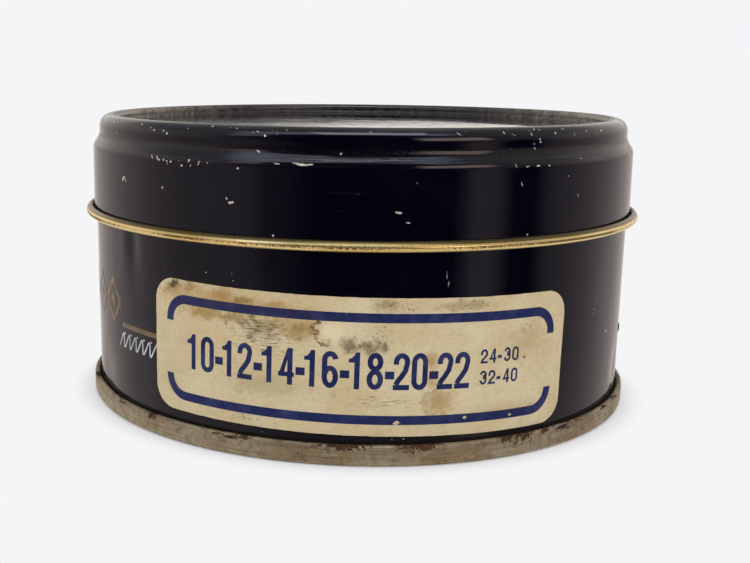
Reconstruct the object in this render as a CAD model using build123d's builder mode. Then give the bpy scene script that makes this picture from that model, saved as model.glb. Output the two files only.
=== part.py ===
from build123d import *
from math import degrees, hypot, sin
import os

# A round slip-lid tin of printed tinplate, standing on its base.
#
# The wall is one rolled sheet, locked along a seam at the back, rolled inwards at the
# rim and hooked outwards at the foot. The bottom end is a stamped disc whose edge is
# folded over the wall's hook, which makes the double seam that the tin stands on. The
# lid is one drawn shell: a recessed panel in a raised bead, a step that seats on the
# wall's rim, a skirt and an outward curl. A paper label is glued to the front.
#
# Millimetres and degrees. The origin is the centre of the base, +Z is up along the
# tin's axis, and the front is at -Y. Each sheet is drawn by the line in its middle, so
# every round below is measured to the middle of the sheet.

# Overall sizes
wall_radius = 59.5          # outside of the wall
total_height = 61.9         # base to the crest of the lid's bead

# Stock
wall_sheet = 0.30
end_sheet = 0.30
lid_sheet = 0.25
label_paper = 0.15

# Clearances
lid_clearance = 0.20        # skirt off the wall, and step off the rim
nest_clearance = 0.20       # lid's ring in the bottom recess of a tin stacked on it
fold_gap = 0.20             # between neighbouring folds of the double seam
hook_gap = 0.45             # from a hook's free edge to the fold that it points at
fold_flat = 0.10            # flat between two rounds that turn the sheet back
foot_flat = 0.30            # flat of the foot, between the rounds at its two sides
glue_gap = 0.05             # label off the wall

# Lid
lid_depth = 21.6            # bead's crest to the foot of the curl
panel_recess = 2.2          # panel below the bead's crest
ring_drop = 4.4             # step's upper corner below the bead's crest
step_drop = 2.15            # step's lower corner below its upper one
skirt_flare = 0.13          # skirt's growth in radius from the step to the curl
panel_round = 0.90
bead_inner_round = 1.10
bead_outer_round = 2.40
step_inner_round = 1.10
step_outer_round = 1.90
lid_roll = 0.82
lid_roll_turn = 292         # degrees

# Wall
rim_roll = 0.75
rim_roll_turn = 285         # degrees
side_seam_width = 5.0
side_seam_folds = 3         # thicknesses that stand inside the wall along the side seam
side_seam_margin = 3.0      # side seam's ends short of the floor and of the rim's roll
seam_line_width = 0.45      # shallow line that the side seam leaves on the outside
seam_line_depth = 0.12

# Bottom end and double seam
seam_height = 4.2
floor_height = 4.4          # underside of the floor's outer band above the base
floor_rise = 0.6            # middle of the floor above its outer band
floor_band = 8.7            # width of the outer band
floor_slope = 1.0           # width of the slope between the two
floor_round = 0.60

# Label
label_width = 86.4          # along the wall
label_foot_margin = 1.5     # label above the double seam
label_head_margin = 8.4     # label below the lid's curl
label_shift = 0.6           # label's centre along the wall, towards +X
label_tilt = 0.88           # degrees that the label's +X end dips
label_corner = 4.8

# Radii of the double seam's layers, to the middle of each sheet, from the inside out:
# the end's chuck wall, the wall, the end's hook, the wall's hook, the end's outer wall.
wall_middle = wall_radius - wall_sheet / 2
layer_step = wall_sheet / 2 + fold_gap + end_sheet / 2
chuck_middle = wall_middle - layer_step
end_hook_middle = wall_middle + layer_step
wall_hook_middle = end_hook_middle + layer_step
seam_middle = wall_hook_middle + layer_step

# Heights of the bottom end and the wall's foot, to the middle of the sheet
base_middle = end_sheet / 2
seam_top_middle = seam_height - end_sheet / 2
floor_middle = floor_height + end_sheet / 2
wall_foot_middle = end_sheet + fold_gap + wall_sheet / 2
hook_round = (wall_hook_middle - wall_middle - fold_flat) / 2
foot_round = (seam_middle - chuck_middle - foot_flat) / 2

# Radii and heights of the lid, to the middle of the sheet. The ring drops into the
# bottom recess of a tin stacked on this one.
ring_middle = chuck_middle - end_sheet / 2 - nest_clearance - lid_sheet / 2
skirt_middle = wall_radius + lid_clearance + lid_sheet / 2
bead_middle = ring_middle - bead_outer_round - fold_flat - bead_inner_round
crest_middle = total_height - lid_sheet / 2
panel_middle = crest_middle - panel_recess
step_top = total_height - ring_drop
step_foot = step_top - step_drop
curl_foot = total_height - lid_depth
lid_roll_height = curl_foot + lid_sheet / 2 + lid_roll

# The rim's roll comes up to the slanted inside of the lid's step, a clearance off it.
step_out = skirt_middle - ring_middle
rim_roll_radius = wall_middle - rim_roll
rim_stand_off = rim_roll + wall_sheet / 2 + lid_clearance + lid_sheet / 2
rim_drop = (
    rim_stand_off * hypot(step_out, step_drop) + step_drop * (rim_roll_radius - ring_middle)
) / step_out
rim_roll_height = step_top - rim_drop

os.makedirs("parts", exist_ok=True)


def finish(piece, name):
    """Label a finished piece and write it to its own file."""
    piece.part.label = name
    export_step(piece.part, f"parts/{name}.step")
    print(f"{name}: {piece.part.volume:.1f} mm3, {piece.part.bounding_box()}")


# Lid: out along the panel, over the bead, down the ring, step and skirt to the curl
with BuildPart() as lid:
    with BuildSketch(Plane.XZ):
        with BuildLine():
            lid_line = FilletPolyline(
                (0, panel_middle),
                (bead_middle, panel_middle),
                (bead_middle, crest_middle),
                (ring_middle, crest_middle),
                (ring_middle, step_top),
                (skirt_middle, step_foot),
                (skirt_middle + skirt_flare, lid_roll_height),
                radius=[
                    panel_round,
                    bead_inner_round,
                    bead_outer_round,
                    step_inner_round,
                    step_outer_round,
                ],
            )
            JernArc(lid_line @ 1, lid_line % 1, lid_roll, lid_roll_turn)
        trace(line_width=lid_sheet)
    revolve(axis=Axis.Z)

finish(lid, "lid")


# Wall: from the free edge of its hook, round the foot and up to the rim's roll
with BuildPart() as tin_wall:
    with BuildSketch(Plane.XZ):
        with BuildLine():
            wall_line = FilletPolyline(
                (wall_hook_middle, seam_height - end_sheet - hook_gap),
                (wall_hook_middle, wall_foot_middle),
                (wall_middle, wall_foot_middle),
                (wall_middle, rim_roll_height),
                radius=hook_round,
            )
            JernArc(wall_line @ 1, wall_line % 1, rim_roll, rim_roll_turn)
        trace(line_width=wall_sheet)
    revolve(axis=Axis.Z)

    # Folds of the side seam, flattened against the inside of the wall
    fold_depth = side_seam_folds * wall_sheet
    fold_foot = floor_height + floor_rise + end_sheet + side_seam_margin
    fold_head = rim_roll_height - rim_roll - wall_sheet / 2 - side_seam_margin
    with BuildSketch(Plane.YZ):
        with Locations((wall_middle, fold_foot)):
            Rectangle(
                fold_depth + wall_sheet / 2,
                fold_head - fold_foot,
                align=(Align.MAX, Align.MIN),
            )
    revolve(axis=Axis.Z, revolution_arc=degrees(side_seam_width / wall_radius))
    fold_inside = wall_radius - wall_sheet - fold_depth / 2
    upright_edges = tin_wall.edges().filter_by(Axis.Z)
    fillet(
        upright_edges.filter_by(lambda edge: hypot(edge.center().X, edge.center().Y) < fold_inside),
        wall_sheet,
    )

    # Line that the side seam leaves on the outside
    with BuildSketch(Plane.YZ):
        with Locations((wall_radius, seam_height)):
            Rectangle(
                2 * seam_line_depth,
                rim_roll_height - seam_height,
                align=(Align.CENTER, Align.MIN),
            )
    revolve(
        axis=Axis.Z,
        revolution_arc=-degrees(seam_line_width / wall_radius),
        mode=Mode.SUBTRACT,
    )

finish(tin_wall, "tin_wall")


# Bottom end: out along the floor, down the chuck wall, under and up the double seam,
# and down again as the hook
with BuildPart() as bottom_end:
    slope_outer = chuck_middle - floor_band
    with BuildSketch(Plane.XZ):
        with BuildLine():
            FilletPolyline(
                (0, floor_middle + floor_rise),
                (slope_outer - floor_slope, floor_middle + floor_rise),
                (slope_outer, floor_middle),
                (chuck_middle, floor_middle),
                (chuck_middle, base_middle),
                (seam_middle, base_middle),
                (seam_middle, seam_top_middle),
                (end_hook_middle, seam_top_middle),
                (end_hook_middle, wall_foot_middle + wall_sheet / 2 + hook_gap),
                radius=[
                    floor_round,
                    floor_round,
                    floor_round,
                    foot_round,
                    foot_round,
                    hook_round,
                    hook_round,
                ],
            )
        trace(line_width=end_sheet)
    revolve(axis=Axis.Z)

finish(bottom_end, "bottom_end")


# Label: the stretch of a thin tube round the wall that its outline, seen from the front,
# covers
with BuildPart() as label:
    label_foot = seam_height + label_foot_margin
    label_head = curl_foot - label_head_margin
    label_chord = 2 * wall_radius * sin(label_width / wall_radius / 2)
    with BuildSketch(Plane.XZ):
        with Locations((label_shift, (label_foot + label_head) / 2)):
            RectangleRounded(
                label_chord, label_head - label_foot, label_corner, rotation=-label_tilt
            )
    extrude(amount=2 * wall_radius)
    with BuildSketch(Plane.XY):
        Circle(wall_radius + glue_gap + label_paper)
        Circle(wall_radius + glue_gap, mode=Mode.SUBTRACT)
    extrude(amount=curl_foot, mode=Mode.INTERSECT)

finish(label, "label")
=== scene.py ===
"""A worn navy slip-lid tin, dressed around its packed construction.

The tin's sizes are in millimetres and become metres when a mesh is made. An arc is the distance round the
wall from the front, positive towards +X.
"""

import sys

import logging
import math
import random
from collections.abc import Callable, Sequence
from dataclasses import dataclass, field
from enum import Enum, IntEnum

import bmesh
import bpy
import numpy as np
from mathutils import Matrix, Vector
from mathutils.bvhtree import BVHTree
from mathutils.geometry import delaunay_2d_cdt


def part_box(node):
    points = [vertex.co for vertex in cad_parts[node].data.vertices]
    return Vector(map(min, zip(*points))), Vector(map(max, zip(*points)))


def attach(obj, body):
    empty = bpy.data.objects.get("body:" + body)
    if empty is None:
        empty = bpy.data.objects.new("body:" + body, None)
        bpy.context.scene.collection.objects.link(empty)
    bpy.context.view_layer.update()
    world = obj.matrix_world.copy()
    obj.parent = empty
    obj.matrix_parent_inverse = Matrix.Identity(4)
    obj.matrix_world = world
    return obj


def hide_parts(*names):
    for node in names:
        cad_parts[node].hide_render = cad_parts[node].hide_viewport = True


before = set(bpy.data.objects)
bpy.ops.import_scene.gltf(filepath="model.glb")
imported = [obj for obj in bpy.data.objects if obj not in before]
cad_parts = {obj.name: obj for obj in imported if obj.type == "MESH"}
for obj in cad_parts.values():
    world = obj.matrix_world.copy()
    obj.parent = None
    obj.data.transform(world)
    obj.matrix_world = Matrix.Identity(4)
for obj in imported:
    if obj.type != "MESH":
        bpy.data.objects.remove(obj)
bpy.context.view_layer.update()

MM = 0.001
ARC_RADIUS = 59.5  # the wall's radius, round which every arc is measured
SEAM_TOP = 4.2  # the height of the upper edge of the bottom seam
log = logging.getLogger("sewing_tin")

Point = tuple[float, float]
Place = tuple[float, float, float]
Colour = tuple[float, float, float]
Piece = bpy.types.Object
Mesh = bpy.types.Mesh
Material = bpy.types.Material
Bend = Callable[[float, float, float], Place]
Key = str | int
Inputs = dict[Key, object]


class Body(Enum):
    """The bodies that pieces ride on."""

    TIN = "tin"
    LID = "lid"


class Slot(Enum):
    """The record's material slots."""

    ENAMEL = "enamel"
    TINPLATE = "tinplate"
    GOLD = "gold_lacquer"
    PAPER = "label_paper"
    INK = "label_ink"


class Face(IntEnum):
    """The two faces of the sheet that the tin is pressed from."""

    OUTSIDE = 0
    INSIDE = 1


def screen(*levels: int) -> Colour:
    """Turns red, green and blue levels from 0 to 255, as a screen shows them, into a linear colour."""
    shares = [level / 255 for level in levels]
    return tuple(v / 12.92 if v <= 0.04045 else ((v + 0.055) / 1.055) ** 2.4 for v in shares)


def hand_over(piece: Piece, body: Body, slot: Slot, *nodes: str) -> Piece:
    """Puts a finished piece on its body and reports it.

    Args:
        piece: The finished piece, with its place in its mesh.
        body: The body that it moves with.
        slot: The record's slot for its finish; not used.
        nodes: The CAD nodes that it stands for.

    Returns:
        The same piece.
    """
    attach(piece, body.value)
    if nodes:
        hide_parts(*nodes)
    triangles = sum(len(face.vertices) - 2 for face in piece.data.polygons)
    log.info("%s rides on %s, %d triangles", piece.name, body.value, triangles)
    return piece


def new_object(name: str, mesh: Mesh) -> Piece:
    """Links a mesh into the scene as an object of the same name.

    Args:
        name: The name.
        mesh: The mesh.

    Returns:
        The object.
    """
    mesh.name = name
    made = bpy.data.objects.new(name, mesh)
    bpy.context.scene.collection.objects.link(made)
    return made


def carry(mesh: Mesh, **columns: Sequence[float]) -> None:
    """Gives the points of a mesh named numbers.

    Args:
        mesh: The mesh.
        columns: The numbers by their names, with one or three for each point.
    """
    for title, values in columns.items():
        long = len(values) == 3 * len(mesh.vertices)
        kind, part = ("FLOAT_VECTOR", "vector") if long else ("FLOAT", "value")
        mesh.attributes.new(title, kind, "POINT").data.foreach_set(part, values)


def turn_faces_out(mesh: Mesh) -> None:
    """Points the faces of a closed mesh outwards.

    Args:
        mesh: The mesh, which is changed.
    """
    form = bmesh.new()
    form.from_mesh(mesh)
    bmesh.ops.recalc_face_normals(form, faces=form.faces)
    form.to_mesh(mesh)
    form.free()


# Node trees


def reckons(operation: str, turned: bool = False) -> Callable:
    """Makes a method that finds its result with a Math node.

    Args:
        operation: The node's operation.
        turned: Whether the method's own value comes second.

    Returns:
        The method.
    """

    def method(own: "Value", other: object = 0.0) -> "Value":
        """Gives the result."""
        return own.wires.math(operation, *((other, own) if turned else (own, other)))

    return method


@dataclass(frozen=True, eq=False)
class Value:
    """A node's output, which reckons like a number. Of two masks, a | b is the stronger."""

    wires: "Wiring"
    socket: bpy.types.NodeSocket

    __add__ = __radd__ = reckons("ADD")
    __mul__ = __rmul__ = reckons("MULTIPLY")
    __sub__ = reckons("SUBTRACT")
    __rsub__ = reckons("SUBTRACT", turned=True)
    __truediv__ = reckons("DIVIDE")
    __or__ = reckons("MAXIMUM")
    __gt__ = reckons("GREATER_THAN")
    __lt__ = reckons("LESS_THAN")
    __abs__ = reckons("ABSOLUTE")

    def span(self, low: float, high: float, to_low: float = 0.0, to_high: float = 1.0) -> "Value":
        """Turns what lies from low to high smoothly into to_low to to_high, and holds it beyond them."""
        inputs = {0: self, 1: low, 2: high, 3: to_low, 4: to_high}
        return self.wires.value("ShaderNodeMapRange", inputs, interpolation_type="SMOOTHSTEP")

    def mix(self, first: object, second: object) -> "Value":
        """Gives the first number where this is 0 and the second where it is 1."""
        return self.wires.value("ShaderNodeMix", {0: self, 2: first, 3: second}, data_type="FLOAT")

    def hypot(self, other: "Value") -> "Value":
        """Gives the length of a flat vector of this and another number."""
        return self.wires.math("SQRT", self * self + other * other)


class Wiring:
    """Adds nodes to one tree and wires them up."""

    def __init__(self, tree: bpy.types.NodeTree) -> None:
        """Starts on a tree."""
        self.tree = tree

    def feed(self, socket: bpy.types.NodeSocket, value: object) -> None:
        """Links a node's output to an input, or gives the input a plain value.

        Args:
            socket: The input.
            value: What it gets.
        """
        if isinstance(value, Value):
            self.tree.links.new(value.socket, socket)
        elif socket.type == "RGBA" and len(value) == 3:
            socket.default_value = (*value, 1.0)
        else:
            socket.default_value = value

    def node(self, kind: str, inputs: Inputs | None = None, **settings: object) -> bpy.types.Node:
        """Adds one node.

        Args:
            kind: Blender's type name of the node.
            inputs: Input names or places, and what each gets.
            settings: The node's own options.

        Returns:
            The node.
        """
        made = self.tree.nodes.new(kind)
        for name, value in settings.items():
            setattr(made, name, value)
        for key, value in (inputs or {}).items():
            self.feed(made.inputs[key], value)
        return made

    def value(self, kind: str, inputs: Inputs | None = None, output: Key = 0, **settings: object) -> Value:
        """Adds one node and gives one of its outputs."""
        return Value(self, self.node(kind, inputs, **settings).outputs[output])

    def math(self, operation: str, *values: object, clamp: bool = False) -> Value:
        """Adds a Math node."""
        return self.value("ShaderNodeMath", dict(enumerate(values)), operation=operation, use_clamp=clamp)

    def vectors(self, operation: str, inputs: Inputs, output: str = "Vector") -> Value:
        """Adds a Vector Math node."""
        return self.value("ShaderNodeVectorMath", inputs, output, operation=operation)

    def vector(self, *parts: object) -> Value:
        """Joins three numbers into a vector."""
        return self.value("ShaderNodeCombineXYZ", dict(enumerate(parts)))

    def split(self, vector: Value) -> tuple[Value, ...]:
        """Gives a vector's three numbers."""
        return tuple(Value(self, part) for part in self.node("ShaderNodeSeparateXYZ", {0: vector}).outputs)

    def coats(self, colour: object, *layers: tuple[object, object]) -> object:
        """Lays colours over one another.

        Args:
            colour: The first colour.
            layers: Masks from 0 to 1, each with the colour that it lays on.

        Returns:
            The colour that shows.
        """
        for mask, over in layers:
            colour = self.value("ShaderNodeMix", {0: mask, 6: colour, 7: over}, 2, data_type="RGBA")
        return colour

    def ramp(self, value: Value, stops: Sequence[tuple[float, Colour]]) -> Value:
        """Turns a value from 0 to 1 into a colour.

        Args:
            value: The value.
            stops: Places from 0 to 1, each with its colour.

        Returns:
            The colour.
        """
        made = self.node("ShaderNodeValToRGB", {0: value})
        elements = made.color_ramp.elements
        while len(elements) < len(stops):
            elements.new(0.5)
        for element, (place, colour) in zip(elements, stops):
            element.position = place
            element.color = (*colour, 1.0)
        return Value(self, made.outputs[0])


class ShapeTree(Wiring):
    """A Geometry Nodes tree with named inputs, which leaves a plain mesh behind."""

    KINDS = {int: "Int", float: "Float", Material: "Material"}

    def __init__(self, name: str, **inputs: type) -> None:
        """Makes the tree's way in and way out.

        Args:
            name: The tree's name.
            inputs: The kinds of its inputs, by their names.
        """
        super().__init__(bpy.data.node_groups.new(name, "GeometryNodeTree"))
        kinds = {"geometry": "Geometry", **{title: self.KINDS[kind] for title, kind in inputs.items()}}
        for title, kind in kinds.items():
            self.tree.interface.new_socket(title, in_out="INPUT", socket_type=f"NodeSocket{kind}")
        self.tree.interface.new_socket("geometry", in_out="OUTPUT", socket_type="NodeSocketGeometry")
        outputs = self.node("NodeGroupInput").outputs
        self.given = {title: Value(self, outputs[title]) for title in kinds}

    def shape(self, kind: str, inputs: Inputs | None = None, output: Key = 0, **settings: object) -> Value:
        """Adds a geometry node and gives one of its outputs."""
        return self.value(f"GeometryNode{kind}", inputs, output, **settings)

    def attribute(self, name: str, kind: str = "FLOAT") -> Value:
        """Reads a named attribute."""
        return self.shape("InputNamedAttribute", {"Name": name}, data_type=kind)

    def close(self, geometry: Value, *materials: tuple[object, Value]) -> None:
        """Ends the tree: real geometry, smooth, in its materials.

        Args:
            geometry: What the tree has made.
            materials: Pairs of a selection and a material.
        """
        geometry = self.shape("SetShadeSmooth", {0: self.shape("RealizeInstances", {0: geometry})})
        for selection, material in materials:
            geometry = self.shape("SetMaterial", {0: geometry, 1: selection, 2: material})
        self.node("NodeGroupOutput", {0: geometry})

    def run(self, name: str, start: Mesh, **values: object) -> Piece:
        """Runs the tree on a mesh.

        Args:
            name: The name of the piece.
            start: The mesh that goes in.
            values: The value of each input.

        Returns:
            A new object with a plain mesh and no modifier.
        """
        source = new_object(f"{name}_source", start)
        modifier = source.modifiers.new("shape", "NODES")
        modifier.node_group = self.tree
        for item in self.tree.interface.items_tree:
            if item.in_out == "INPUT" and item.name in values:
                modifier[item.identifier] = values[item.name]
        graph = bpy.context.evaluated_depsgraph_get()
        result = source.evaluated_get(graph)
        mesh = bpy.data.meshes.new_from_object(result, preserve_all_data_layers=True, depsgraph=graph)
        source.modifiers.remove(modifier)
        bpy.data.objects.remove(source)
        return new_object(name, mesh)


# Shapes


@dataclass(frozen=True)
class Dent:
    """A shallow push in the wall, in millimetres."""

    arc: float
    height: float
    half_width: float
    half_height: float
    depth: float


@dataclass(frozen=True)
class Unevenness:
    """The slight waver of the pressed tin, which every piece on it follows."""

    waves: tuple[tuple[int, float, float, float], ...] = (
        (2, 0.050, 0.4, 0.010), (3, 0.040, 1.9, 0.014), (5, 0.018, 0.7, -0.020), (9, 0.008, 2.6, 0.040),
    )
    tin_dents: tuple[Dent, ...] = (
        Dent(-50.6, 38, 1.9, 4.2, 0.44), Dent(-54.2, 37, 1.7, 5, -0.10), Dent(-49.5, 31, 2.6, 5, 0.09),
        Dent(72, 9.5, 3, 4, 0.30), Dent(-66, 7.5, 5, 4, 0.35), Dent(-47, 11, 3.5, 6, 0.10),
        Dent(61, 30, 4, 7, 0.08), Dent(120, 22, 9, 8, 0.25), Dent(-150, 30, 6, 7, 0.20),
    )
    lid_dents: tuple[Dent, ...] = (
        Dent(-20, 58.8, 5, 1.6, 0.10), Dent(31.5, 58.6, 4, 1.5, 0.14), Dent(20, 47, 7, 6, 0.04),
        Dent(-140, 50, 5, 5, 0.08),
    )

    def settle(self, piece: Piece, body: Body) -> Piece:
        """Moves a piece's vertices in or out by the waver and the dents.

        Args:
            piece: The piece, whose mesh is changed.
            body: The body that it rides on.

        Returns:
            The same piece.
        """
        mesh = piece.data
        places = np.empty(len(mesh.vertices) * 3, np.float32)
        mesh.vertices.foreach_get("co", places)
        places = places.reshape(-1, 3).astype(float)
        radius = np.hypot(places[:, 0], places[:, 1])
        turn = np.arctan2(places[:, 0], -places[:, 1])
        height = places[:, 2] / MM
        push = np.zeros(len(places))
        for count, size, phase, climb in self.waves:
            push += size * np.sin(count * turn + phase + climb * height)
        for dent in self.lid_dents if body is Body.LID else self.tin_dents:
            across = (turn * ARC_RADIUS - dent.arc) / dent.half_width
            upright = (height - dent.height) / dent.half_height
            push -= dent.depth * np.exp(-(across**2) - upright**2)
        share = np.clip(radius / MM / ARC_RADIUS, 0, 1) ** 4
        scale = 1 + push * MM * share / np.maximum(radius, MM)
        places[:, :2] *= scale[:, None]
        mesh.vertices.foreach_set("co", places.astype(np.float32).ravel())
        mesh.update()
        return piece


@dataclass
class SheetLine:
    """The middle line of a pressed sheet, as points of radius and height in millimetres."""

    points: list[Point]

    RUN_STEP = 2.6
    ARC_STEP = math.radians(11)
    NOSE_ANGLES = (50, 0, -50)

    @classmethod
    def folded(cls, corners: Sequence[Point], rounds: Sequence[float]) -> "SheetLine":
        """Runs a line through corners and rounds each corner off.

        Args:
            corners: The corners, in order.
            rounds: The radius at each corner but the first and last.

        Returns:
            The line.
        """
        line = cls([corners[0]])
        for (before, corner, after), radius in zip(zip(corners, corners[1:], corners[2:]), rounds):
            inward = Vector(corner) - Vector(before)
            outward = Vector(after) - Vector(corner)
            turn = math.atan2(inward.cross(outward), inward.dot(outward))
            line.run_to(Vector(corner) - inward.normalized() * radius * math.tan(abs(turn) / 2))
            line.curl(radius, turn)
        line.run_to(corners[-1])
        return line

    def run_to(self, end: Point) -> None:
        """Goes straight to a point, in steps short enough to bend.

        Args:
            end: The point.
        """
        start = Vector(self.points[-1])
        way = Vector(end) - start
        steps = max(1, math.ceil(way.length / self.RUN_STEP))
        self.points += [tuple(start + way * (i / steps)) for i in range(1, steps + 1)]

    def curl(self, radius: float, turn: float) -> None:
        """Goes round an arc that starts where the line points.

        Args:
            radius: The arc's radius.
            turn: The angle, positive to the left.
        """
        ahead = (Vector(self.points[-1]) - Vector(self.points[-2])).normalized()
        centre = Vector(self.points[-1]) + Vector((-ahead.y, ahead.x)) * radius * math.copysign(1.0, turn)
        spoke = Vector(self.points[-1]) - centre
        steps = max(3, math.ceil(abs(turn) / self.ARC_STEP))
        angles = [turn * i / steps for i in range(1, steps + 1)]
        self.points += [tuple(centre + Matrix.Rotation(angle, 2) @ spoke) for angle in angles]

    def tangents(self) -> list[Vector]:
        """Gives the line's direction at each point."""
        ends = [self.points[0], *self.points, self.points[-1]]
        return [(Vector(b) - Vector(a)).normalized() for a, b in zip(ends, ends[2:])]

    def beside(self, amount: float) -> list[Point]:
        """Gives the points moved to the line's left."""
        rows = zip(self.points, self.tangents())
        return [(x - ahead.y * amount, y + ahead.x * amount) for (x, y), ahead in rows]

    def outline(self, sheet: float, left: Face) -> list[tuple[float, float, Face]]:
        """Gives the outline of the sheet that the line is the middle of.

        Args:
            sheet: The sheet's thickness.
            left: The face on the line's left.

        Returns:
            Points of radius and height, each with its face. A line that starts at the axis gives an outline
            from axis to axis, and any other a closed one, whose first point is repeated at its end.
        """
        right = Face(1 - left)
        half, ahead = sheet / 2, self.tangents()
        first = [(*point, left) for point in self.beside(half)]
        second = [(*point, right) for point in self.beside(-half)[::-1]]
        made = first + self.nose(self.points[-1], ahead[-1] * half, right) + second
        if self.points[0][0] < 1e-6:
            return made
        return made + self.nose(self.points[0], ahead[0] * -half, right) + first[:1]

    def nose(self, point: Point, reach: Vector, face: Face) -> list[tuple[float, float, Face]]:
        """Gives the rounded cut edge at an end of the sheet, from its left to its right."""
        spokes = [Matrix.Rotation(math.radians(degrees), 2) @ reach for degrees in self.NOSE_ANGLES]
        return [(point[0] + spoke.x, point[1] + spoke.y, face) for spoke in spokes]


@dataclass(frozen=True)
class Exposed:
    """A ring of the profile that is knocked or that gathers dirt."""

    radius: float
    height: float
    reach: float
    strength: float = 1.0

    def at(self, radius: float, height: float) -> float:
        """Gives the strength at a point of the profile."""
        away = math.hypot(radius - self.radius, height - self.height) / self.reach
        return self.strength * math.exp(-away * away)


class LatheTree(ShapeTree):
    """Turns a profile round the tin's axis, with a groove at the back where the wall is seamed."""

    CARRIED = ("face", "rub", "grime")
    PINCH_WIDTH = 5.0  # in widths of the groove, where the columns of the grid crowd together

    def __init__(self) -> None:
        """Builds the tree: a grid of profile points by turns, bent round the axis and welded."""
        sizes = dict.fromkeys(("weld", "seam_pinch", "seam_turn", "seam_depth", "seam_foot"), float)
        super().__init__("turned_sheet", turns=int, **sizes, outside=Material, inside=Material)
        profile, turns, seam_turn = self.given["geometry"], self.given["turns"], self.given["seam_turn"]
        columns = turns + 1.0
        count = self.shape("AttributeDomainSize", {0: profile}, "Point Count")
        grid = self.shape("MeshGrid", {0: 1.0, 1: 1.0, 2: count, 3: columns}, "Mesh")
        index = self.shape("InputIndex")
        row = self.math("FLOOR", (index + 0.25) / columns)
        column = index - row * columns

        for name in self.CARRIED:
            value = self.sampled(self.attribute(name), row, "FLOAT")
            stored = {"Geometry": grid, "Name": name, "Value": value}
            grid = self.shape("StoreNamedAttribute", stored, data_type="FLOAT")
        radius, _, height = self.split(self.sampled(self.shape("InputPosition"), row, "FLOAT_VECTOR"))

        turn = column / turns * math.tau
        from_seam = math.pi - abs(turn - math.pi)
        spread = from_seam / (seam_turn * self.PINCH_WIDTH)
        pinch = 1.0 - self.math("EXPONENT", spread * spread * -1.0) * self.given["seam_pinch"]
        side = 1.0 - (turn > math.pi) * 2.0
        angle = from_seam * pinch * side + seam_turn * 0.5
        groove = (from_seam < seam_turn) * (height > self.given["seam_foot"])
        reach = radius - groove * self.given["seam_depth"]
        place = self.vector(reach * self.math("SINE", angle), reach * self.math("COSINE", angle), height)
        bent = self.shape("SetPosition", {0: grid, 2: place})
        welded = self.shape("MergeByDistance", {0: bent, 2: self.given["weld"]})

        inside = self.attribute("face") > 0.5
        self.close(welded, (1.0 - inside, self.given["outside"]), (inside, self.given["inside"]))

    def sampled(self, value: Value, index: Value, kind: str) -> Value:
        """Reads a value at one point of the profile."""
        inputs = {0: self.given["geometry"], 1: value, 2: index}
        return self.shape("SampleIndex", inputs, data_type=kind, domain="POINT")


@dataclass
class TurnedSheet:
    """A pressed sheet that is round about the tin's axis."""

    line: SheetLine
    sheet: float
    left: Face
    rubbed: tuple[Exposed, ...] = ()
    grimy: tuple[Exposed, ...] = ()
    turns: int = 360
    seam_turn: float = 0.0075
    seam_depth: float = 0.0
    seam_pinch: float = 0.85
    weld: float = 0.002

    def build(self, tree: LatheTree, name: str, outside: Material, inside: Material) -> Piece:
        """Turns the sheet's outline round the axis.

        Args:
            tree: The tree that turns it.
            name: The piece's name.
            outside: The finish of the outside face.
            inside: The finish of the inside face.

        Returns:
            The piece, closed, with its faces outwards.
        """
        outline = self.line.outline(self.sheet, self.left)
        mesh = bpy.data.meshes.new(name)
        places = [(radius * MM, 0.0, height * MM) for radius, height, _ in outline]
        mesh.from_pydata(places, [(i, i + 1) for i in range(len(places) - 1)], [])
        rub = [self.strongest(self.rubbed, r, z) * (face is Face.OUTSIDE) for r, z, face in outline]
        grime = [self.strongest(self.grimy, r, z) for r, z, _ in outline]
        carry(mesh, face=[float(face) for _, _, face in outline], rub=rub, grime=grime)
        sizes = {"weld": self.weld * MM, "seam_depth": self.seam_depth * MM, "seam_foot": SEAM_TOP * MM}
        seam = {"seam_pinch": self.seam_pinch, "seam_turn": self.seam_turn}
        piece = tree.run(name, mesh, turns=self.turns, outside=outside, inside=inside, **sizes, **seam)
        turn_faces_out(piece.data)
        return piece

    @staticmethod
    def strongest(rings: Sequence[Exposed], radius: float, height: float) -> float:
        """Gives the strongest of several rings at a point of the profile."""
        return max((ring.at(radius, height) for ring in rings), default=0.0)


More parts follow.
